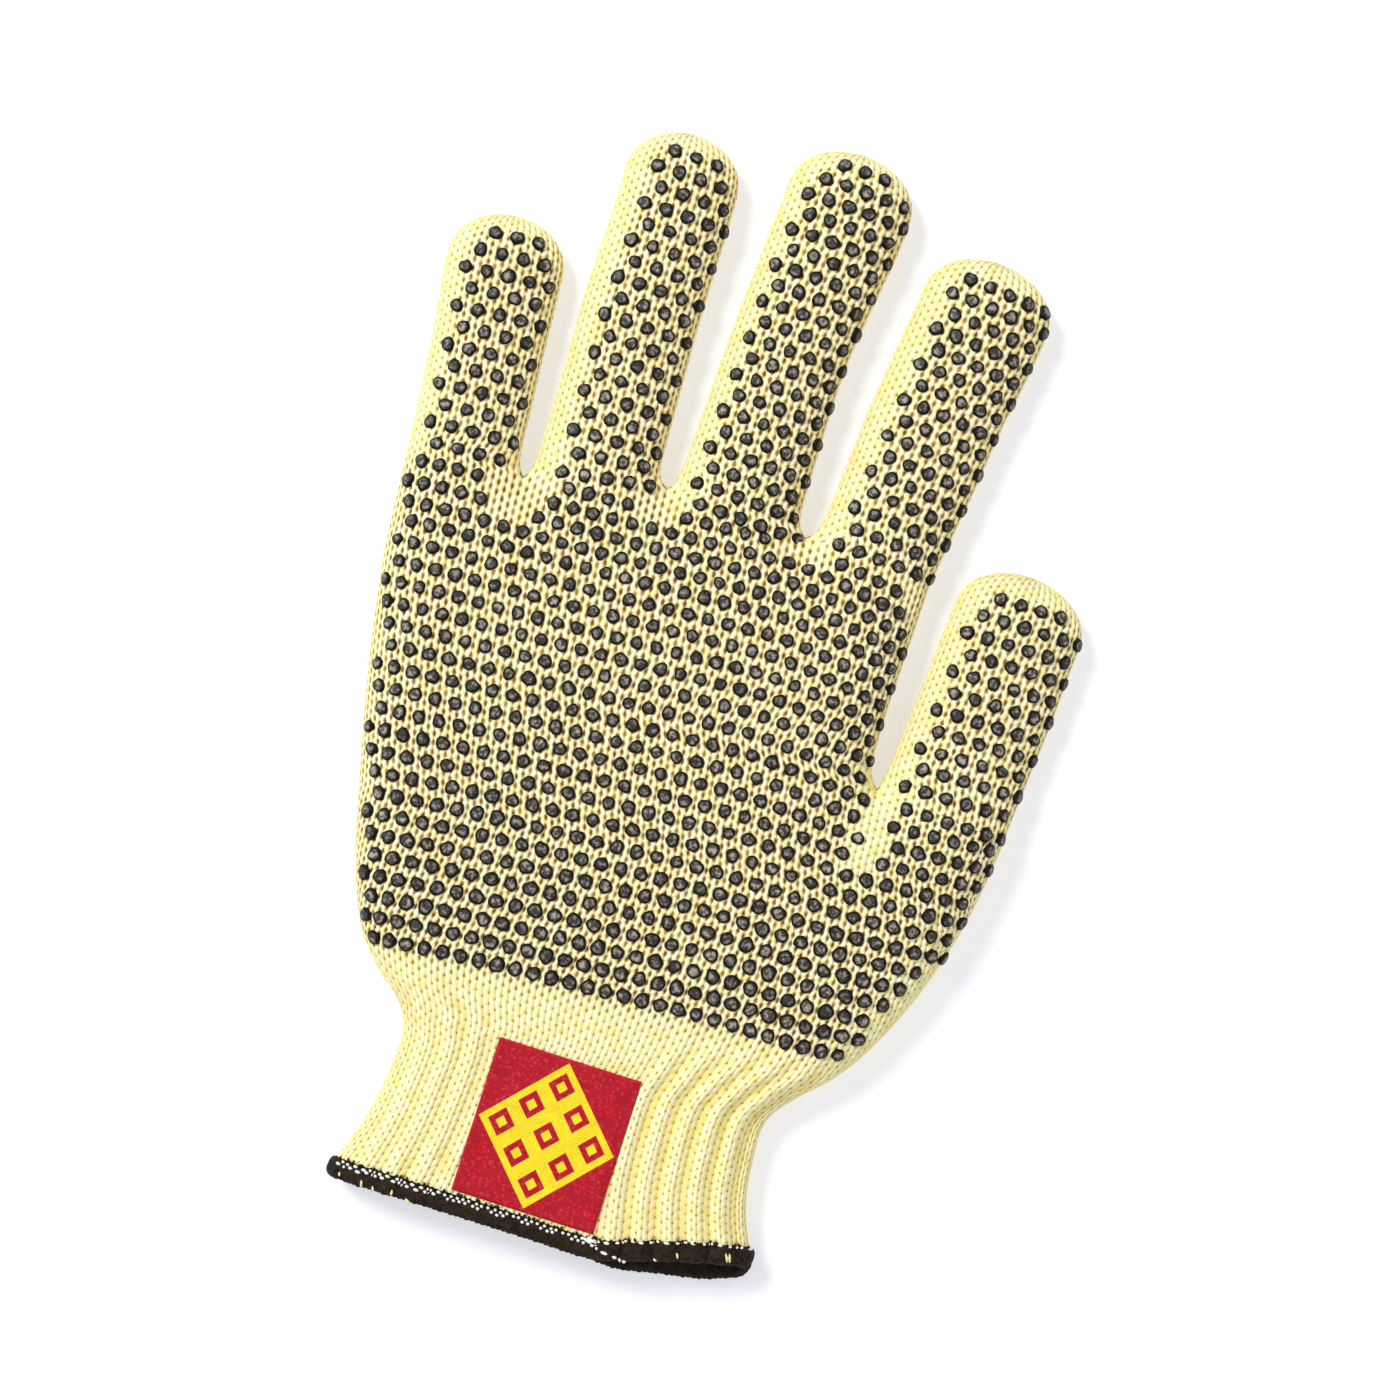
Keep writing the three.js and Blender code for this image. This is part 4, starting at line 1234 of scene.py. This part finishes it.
def stitch_group():
    """Knit pattern from the stitch coordinates: strand height, holes where strands meet, and fine plies."""
    sockets = [("Stitches", "Vector", None), ("Hole Width", "Float", 0.42), ("Hole Stretch", "Float", 1.0)]
    sockets += [("Ply Count", "Float", 4.0)]
    outputs = [("Height", "Float"), ("Hole", "Float"), ("Groove", "Float")]
    tree, n, given, out = group("knit_stitches", sockets, outputs)
    place = n.parts(given["Stitches"])
    half_wale = n.math("MULTIPLY", place[0], 2.0)
    across = n.math("FRACT", half_wale)
    mirrored = n.math("MODULO", n.math("FLOOR", half_wale), 2.0)
    way = n.math("MULTIPLY_ADD", mirrored, -2.0 * STRAND_SLANT, STRAND_SLANT)
    along = n.math("MULTIPLY_ADD", n.math("SUBTRACT", across, 0.5), way, place[1])
    strand = n.math("FRACT", along)
    column = n.math("MULTIPLY", n.math("MULTIPLY", across, n.math("SUBTRACT", 1.0, across)), 4.0)
    body = n.math("MULTIPLY", n.math("MULTIPLY", strand, n.math("SUBTRACT", 1.0, strand)), 4.0)
    beside = n.math("MULTIPLY", n.math("MINIMUM", across, n.math("SUBTRACT", 1.0, across)), STRAND_SIZE[0])
    between = n.math("MULTIPLY", n.math("MINIMUM", strand, n.math("SUBTRACT", 1.0, strand)), STRAND_SIZE[1])
    between = n.math("DIVIDE", between, given["Hole Stretch"])
    near = n.math("SQRT", n.math("ADD", n.math("POWER", beside, 2.0), n.math("POWER", between, 2.0)))
    hole = n.math("SUBTRACT", 1.0, n.ramp(near, 0.12, given["Hole Width"]))
    ply = n.math("SINE", n.math("MULTIPLY", n.math("MULTIPLY", strand, given["Ply Count"]), 2 * math.pi))
    round_body = n.math("SQRT", body)
    height = n.math("MULTIPLY", n.math("SQRT", column), n.math("MULTIPLY_ADD", round_body, 0.35, 0.65))
    height = n.math("MULTIPLY_ADD", hole, -0.5, height)
    n.put(out["Height"], n.math("MULTIPLY_ADD", ply, 0.03, height))
    n.put(out["Hole"], hole)
    # Groove: low between the columns and between the strands, where the knit material paints shade
    full = n.math("MULTIPLY", column, n.math("MULTIPLY_ADD", round_body, 0.4, 0.6))
    n.put(out["Groove"], n.math("SUBTRACT", 1.0, full))
    return tree


def material(name, roughness, **settings):
    """New material, with the values that are the same all over set on the shader's own sockets."""
    made = bpy.data.materials.new(name)
    made.use_nodes = True
    shader = made.node_tree.nodes["Principled BSDF"]
    shader.inputs["Roughness"].default_value = roughness
    for key, value in settings.items():
        shader.inputs[key.replace("_", " ").title()].default_value = value
    return made, Nodes(made.node_tree), shader.inputs


def mottled(n, groups, base, coarse, fine, strength):
    inputs = {"Colour": base, "Coarse Size": coarse, "Fine Size": fine, "Strength": strength}
    return n.add("ShaderNodeGroup", inputs, node_tree=groups["mottle"]).outputs


def bumped(n, shader, height, distance, strength=1.0):
    bump = n.add("ShaderNodeBump", {"Height": height, "Distance": distance, "Strength": strength})
    n.put(shader["Normal"], bump.outputs[0])


# Knit colours: light and middle are the yarn's own tones; groove, halo, hole and crease are painted shade
KNIT_LIGHT = colour(252, 246, 204)
KNIT_MIDDLE = colour(247, 234, 156)
KNIT_GROOVE_SHADE = colour(236, 210, 92)
KNIT_HALO_SHADE = colour(240, 190, 62)
KNIT_HOLE_SHADE_PALM = colour(124, 80, 2)
KNIT_HOLE_SHADE_CUFF = colour(190, 160, 20)
KNIT_CREASE_SHADE = colour(240, 210, 104)


def knit_material(groups):
    """Pale yellow spun yarn, near white on the strands, with painted shade of gold in grooves, brown or gold
    in holes.
    """
    made, n, shader = material("pale_yellow_knit", 0.88, sheen_weight=0.12, sheen_roughness=0.5)
    shader["Specular IOR Level"].default_value = 0.12
    knit = n.add("ShaderNodeGroup", {"Stitches": n.uv()}, node_tree=groups["stitches"])
    dotted = n.add("ShaderNodeAttribute", attribute_name="dotted").outputs["Fac"]
    painted_shade = n.add("ShaderNodeAttribute", attribute_name="painted_shade").outputs["Fac"]
    n.put(knit.inputs["Hole Width"], n.math("MULTIPLY_ADD", dotted, 0.16, 0.39))
    n.put(knit.inputs["Hole Stretch"], n.math("MULTIPLY_ADD", dotted, 0.9, 1.0))
    where = n.add("ShaderNodeTexCoord").outputs["Object"]
    patches = n.ramp(n.noise(where, 420.0, 2.0), 0.4, 0.68)
    share = n.math("MULTIPLY_ADD", n.math("SUBTRACT", 1.0, dotted), 0.2, n.math("MULTIPLY", patches, 0.7))
    tone = n.blend(share, KNIT_LIGHT, KNIT_MIDDLE)
    # Painted shade in the grooves, stronger among the dots
    groove_shade = n.ramp(knit.outputs["Groove"], 0.5, 1.0)
    groove_shade = n.math("MULTIPLY", groove_shade, n.math("MULTIPLY_ADD", dotted, 0.3, 0.3))
    tone = n.blend(groove_shade, tone, KNIT_GROOVE_SHADE)
    # Painted shade in the cuff's folds and along the outline
    tone = n.blend(n.math("MULTIPLY", painted_shade, 0.6), tone, KNIT_CREASE_SHADE)
    tone = mottled(n, groups, tone, 240.0, 1800.0, 0.1)
    # Painted shade in the holes: brown among the dots, paler gold in the bare knit, deeper in some holes at
    # random
    openness = n.ramp(n.noise(where, 300.0, 1.0), 0.3, 0.6)
    hole = n.math("MULTIPLY", knit.outputs["Hole"], n.math("MULTIPLY_ADD", openness, 0.4, 0.6))
    hole_shade_tone = n.blend(dotted, KNIT_HOLE_SHADE_CUFF, KNIT_HOLE_SHADE_PALM)
    # Painted shade of orange round the holes among the dots
    halo_shade = n.math("MULTIPLY", n.math("POWER", knit.outputs["Hole"], 0.4), n.math("MULTIPLY", dotted, 0.4))
    toned = n.blend(halo_shade, tone["Colour"], KNIT_HALO_SHADE)
    n.put(shader["Base Color"], n.blend(hole, toned, hole_shade_tone))
    fuzz = n.math("MULTIPLY_ADD", tone["Grain"], 0.25, knit.outputs["Height"])
    bumped(n, shader, fuzz, 0.0003, 0.8)
    return made


def dot_material(groups):
    """Black rubber: matt black sides, and on the crown a painted grey reflection, mottled with painted
    highlight spots.
    """
    made, n, shader = material("black_rubber_dots", 0.5)
    shader["Specular IOR Level"].default_value = 0.16
    place = n.parts(n.uv())
    where = n.add("ShaderNodeTexCoord").outputs["Object"]
    spots = n.ramp(n.noise(where, 950.0, 3.0, 0.6), 0.44, 0.64)
    crown = n.math("SUBTRACT", 1.0, n.ramp(place[0], 0.4, 0.82))
    # Painted reflection on the crown: grey in spots, stronger on some dots than on others at random
    painted_reflection = n.math("MULTIPLY", crown, n.math("MULTIPLY_ADD", spots, 0.75, 0.1))
    painted_reflection = n.math("MULTIPLY", painted_reflection, n.math("MULTIPLY_ADD", place[1], 0.6, 0.7))
    tone = n.blend(painted_reflection, colour(12, 7, 2), colour(172, 163, 150))
    tone = mottled(n, groups, tone, 500.0, 2500.0, 0.15)
    n.put(shader["Base Color"], tone["Colour"])
    n.put(shader["Roughness"], n.math("MULTIPLY_ADD", spots, 0.25, 0.32))
    bumped(n, shader, n.noise(where, 1100.0, 3.0, 0.6), 0.0004, 1.0)
    return made


def thread_material(groups, name, base, strength):
    """Spun thread: tone that varies along it, with fine fibres."""
    made, n, shader = material(name, 0.7)
    shader["Specular IOR Level"].default_value = 0.12
    tone = mottled(n, groups, base, 700.0, 2200.0, strength)
    n.put(shader["Base Color"], tone["Colour"])
    bumped(n, shader, tone["Grain"], 0.00015, 0.8)
    return made


def label_material(groups):
    """Woven crimson label: a large yellow lozenge holding rows of small crimson ones with yellow middles."""
    made, n, shader = material("crimson_label_weave", 0.75)
    shader["Specular IOR Level"].default_value = 0.3
    place = n.parts(n.uv())
    rising = n.math("ADD", place[0], place[1])
    falling = n.math("SUBTRACT", place[0], place[1])
    large = n.math("MAXIMUM", n.math("ABSOLUTE", rising), n.math("ABSOLUTE", falling))
    cells = [n.math("PINGPONG", n.math("MULTIPLY", way, 1.58), 0.5) for way in (rising, falling)]
    small = n.math("MAXIMUM", cells[0], cells[1])
    shape = n.math("MULTIPLY", n.math("LESS_THAN", small, 0.3), n.math("GREATER_THAN", small, 0.13))
    motif = n.math("MULTIPLY", n.math("LESS_THAN", large, 0.95), n.math("SUBTRACT", 1.0, shape))
    where = n.add("ShaderNodeTexCoord").outputs["Object"]
    fleck = n.ramp(n.noise(where, 1300.0, 2.0), 0.5, 0.72)
    ground = n.blend(n.math("MULTIPLY", fleck, 0.45), colour(186, 4, 34), colour(222, 84, 88))
    base = n.blend(motif, ground, colour(253, 226, 38))
    tone = mottled(n, groups, base, 300.0, 1500.0, 0.2)
    n.put(shader["Base Color"], tone["Colour"])
    weft = n.math("ABSOLUTE", n.math("SINE", n.math("MULTIPLY", place[1], 150.0)))
    warp = n.math("ABSOLUTE", n.math("SINE", n.math("MULTIPLY", place[0], 110.0)))
    bumped(n, shader, n.math("MULTIPLY_ADD", warp, 0.6, weft), 0.00012, 0.8)
    return made


def finish_piece(piece, made, node):
    piece.data.materials.append(made)
    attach(piece, "root")
    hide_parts(node)


# Camera straight above, turned by the photograph's turn, and the frame's width on the glove
VIEW = {"turn": 14.0, "width": 0.306, "lens": 100.0, "sensor": 36.0, "level": 0.010}
KEY = {"from": (-1.24, 0.80, 1.60), "size": 0.85, "power": 36.0}
FILL = {"from": (0.7, -0.5, 0.9), "size": 1.2, "power": 2.0}
SURROUND = 0.56
FLOOR_GLOW = 0.43


def light(name, where, size, power):
    lamp = bpy.data.lights.new(name, "AREA")
    lamp.shape, lamp.size, lamp.energy = "DISK", size, power
    obj = bpy.data.objects.new(name, lamp)
    bpy.context.scene.collection.objects.link(obj)
    obj.location = where
    back = np.array(where) / np.linalg.norm(where)
    obj.rotation_euler = (math.acos(back[2]), 0, math.atan2(back[0], -back[1]))


def studio():
    """Pale floor, a soft light from the picture's upper left, a weak fill, an even surround and a camera."""
    scene = bpy.context.scene
    scene.view_settings.view_transform = "Standard"
    camera = bpy.data.objects.new("camera", bpy.data.cameras.new("camera"))
    scene.collection.objects.link(camera)
    camera.data.lens, camera.data.sensor_width = VIEW["lens"], VIEW["sensor"]
    distance = VIEW["width"] * VIEW["lens"] / VIEW["sensor"]
    camera.location = (0, 0, VIEW["level"] + distance)
    camera.rotation_euler = (0, 0, math.radians(VIEW["turn"]))
    scene.camera = camera
    light("key_light", KEY["from"], KEY["size"], KEY["power"])
    light("fill_light", FILL["from"], FILL["size"], FILL["power"])
    world = bpy.data.worlds.new("surround")
    world.use_nodes = True
    background = world.node_tree.nodes["Background"]
    background.inputs["Color"].default_value = (0.97, 0.98, 1.0, 1.0)
    background.inputs["Strength"].default_value = SURROUND
    scene.world = world
    half = 1500.0
    corners = np.array([(-half, -half, 0), (half, -half, 0), (half, half, 0), (-half, half, 0)], float)
    floor = mesh_object("floor", corners, np.array([[0, 1, 2, 3]]))
    made, n, shader = material("pale_floor", 0.8)
    where = n.add("ShaderNodeTexCoord").outputs["Object"]
    paper = n.blend(n.noise(where, 60.0), (0.65, 0.66, 0.7, 1), (0.67, 0.68, 0.715, 1))
    n.put(shader["Base Color"], paper)
    shader["Emission Color"].default_value = (0.93, 0.94, 1.0, 1.0)
    shader["Emission Strength"].default_value = FLOOR_GLOW
    floor.data.materials.append(made)


groups = {"mottle": mottle_group(), "stitches": stitch_group()}
knit = knit_material(groups)
for piece, node in knit_pieces():
    finish_piece(piece, knit, node)
rubber = dot_material(groups)
for name, piece in dot_pieces().items():
    finish_piece(piece, rubber, name.replace("_dots", ""))
black_thread = thread_material(groups, "black_overlock_thread", colour(41, 31, 21), 1.3)
white_thread = thread_material(groups, "white_stitch_thread", colour(245, 243, 238), 0.12)
cream_thread = thread_material(groups, "cream_thread_ends", colour(250, 232, 165), 0.15)
white, black, cream = hem_threads()
finish_piece(hem_band(), black_thread, "hem")
finish_piece(black, black_thread, "hem")
finish_piece(white, white_thread, "hem")
finish_piece(cream, cream_thread, "hem")
finish_piece(label_sheet(), label_material(groups), "cuff_label")
studio()
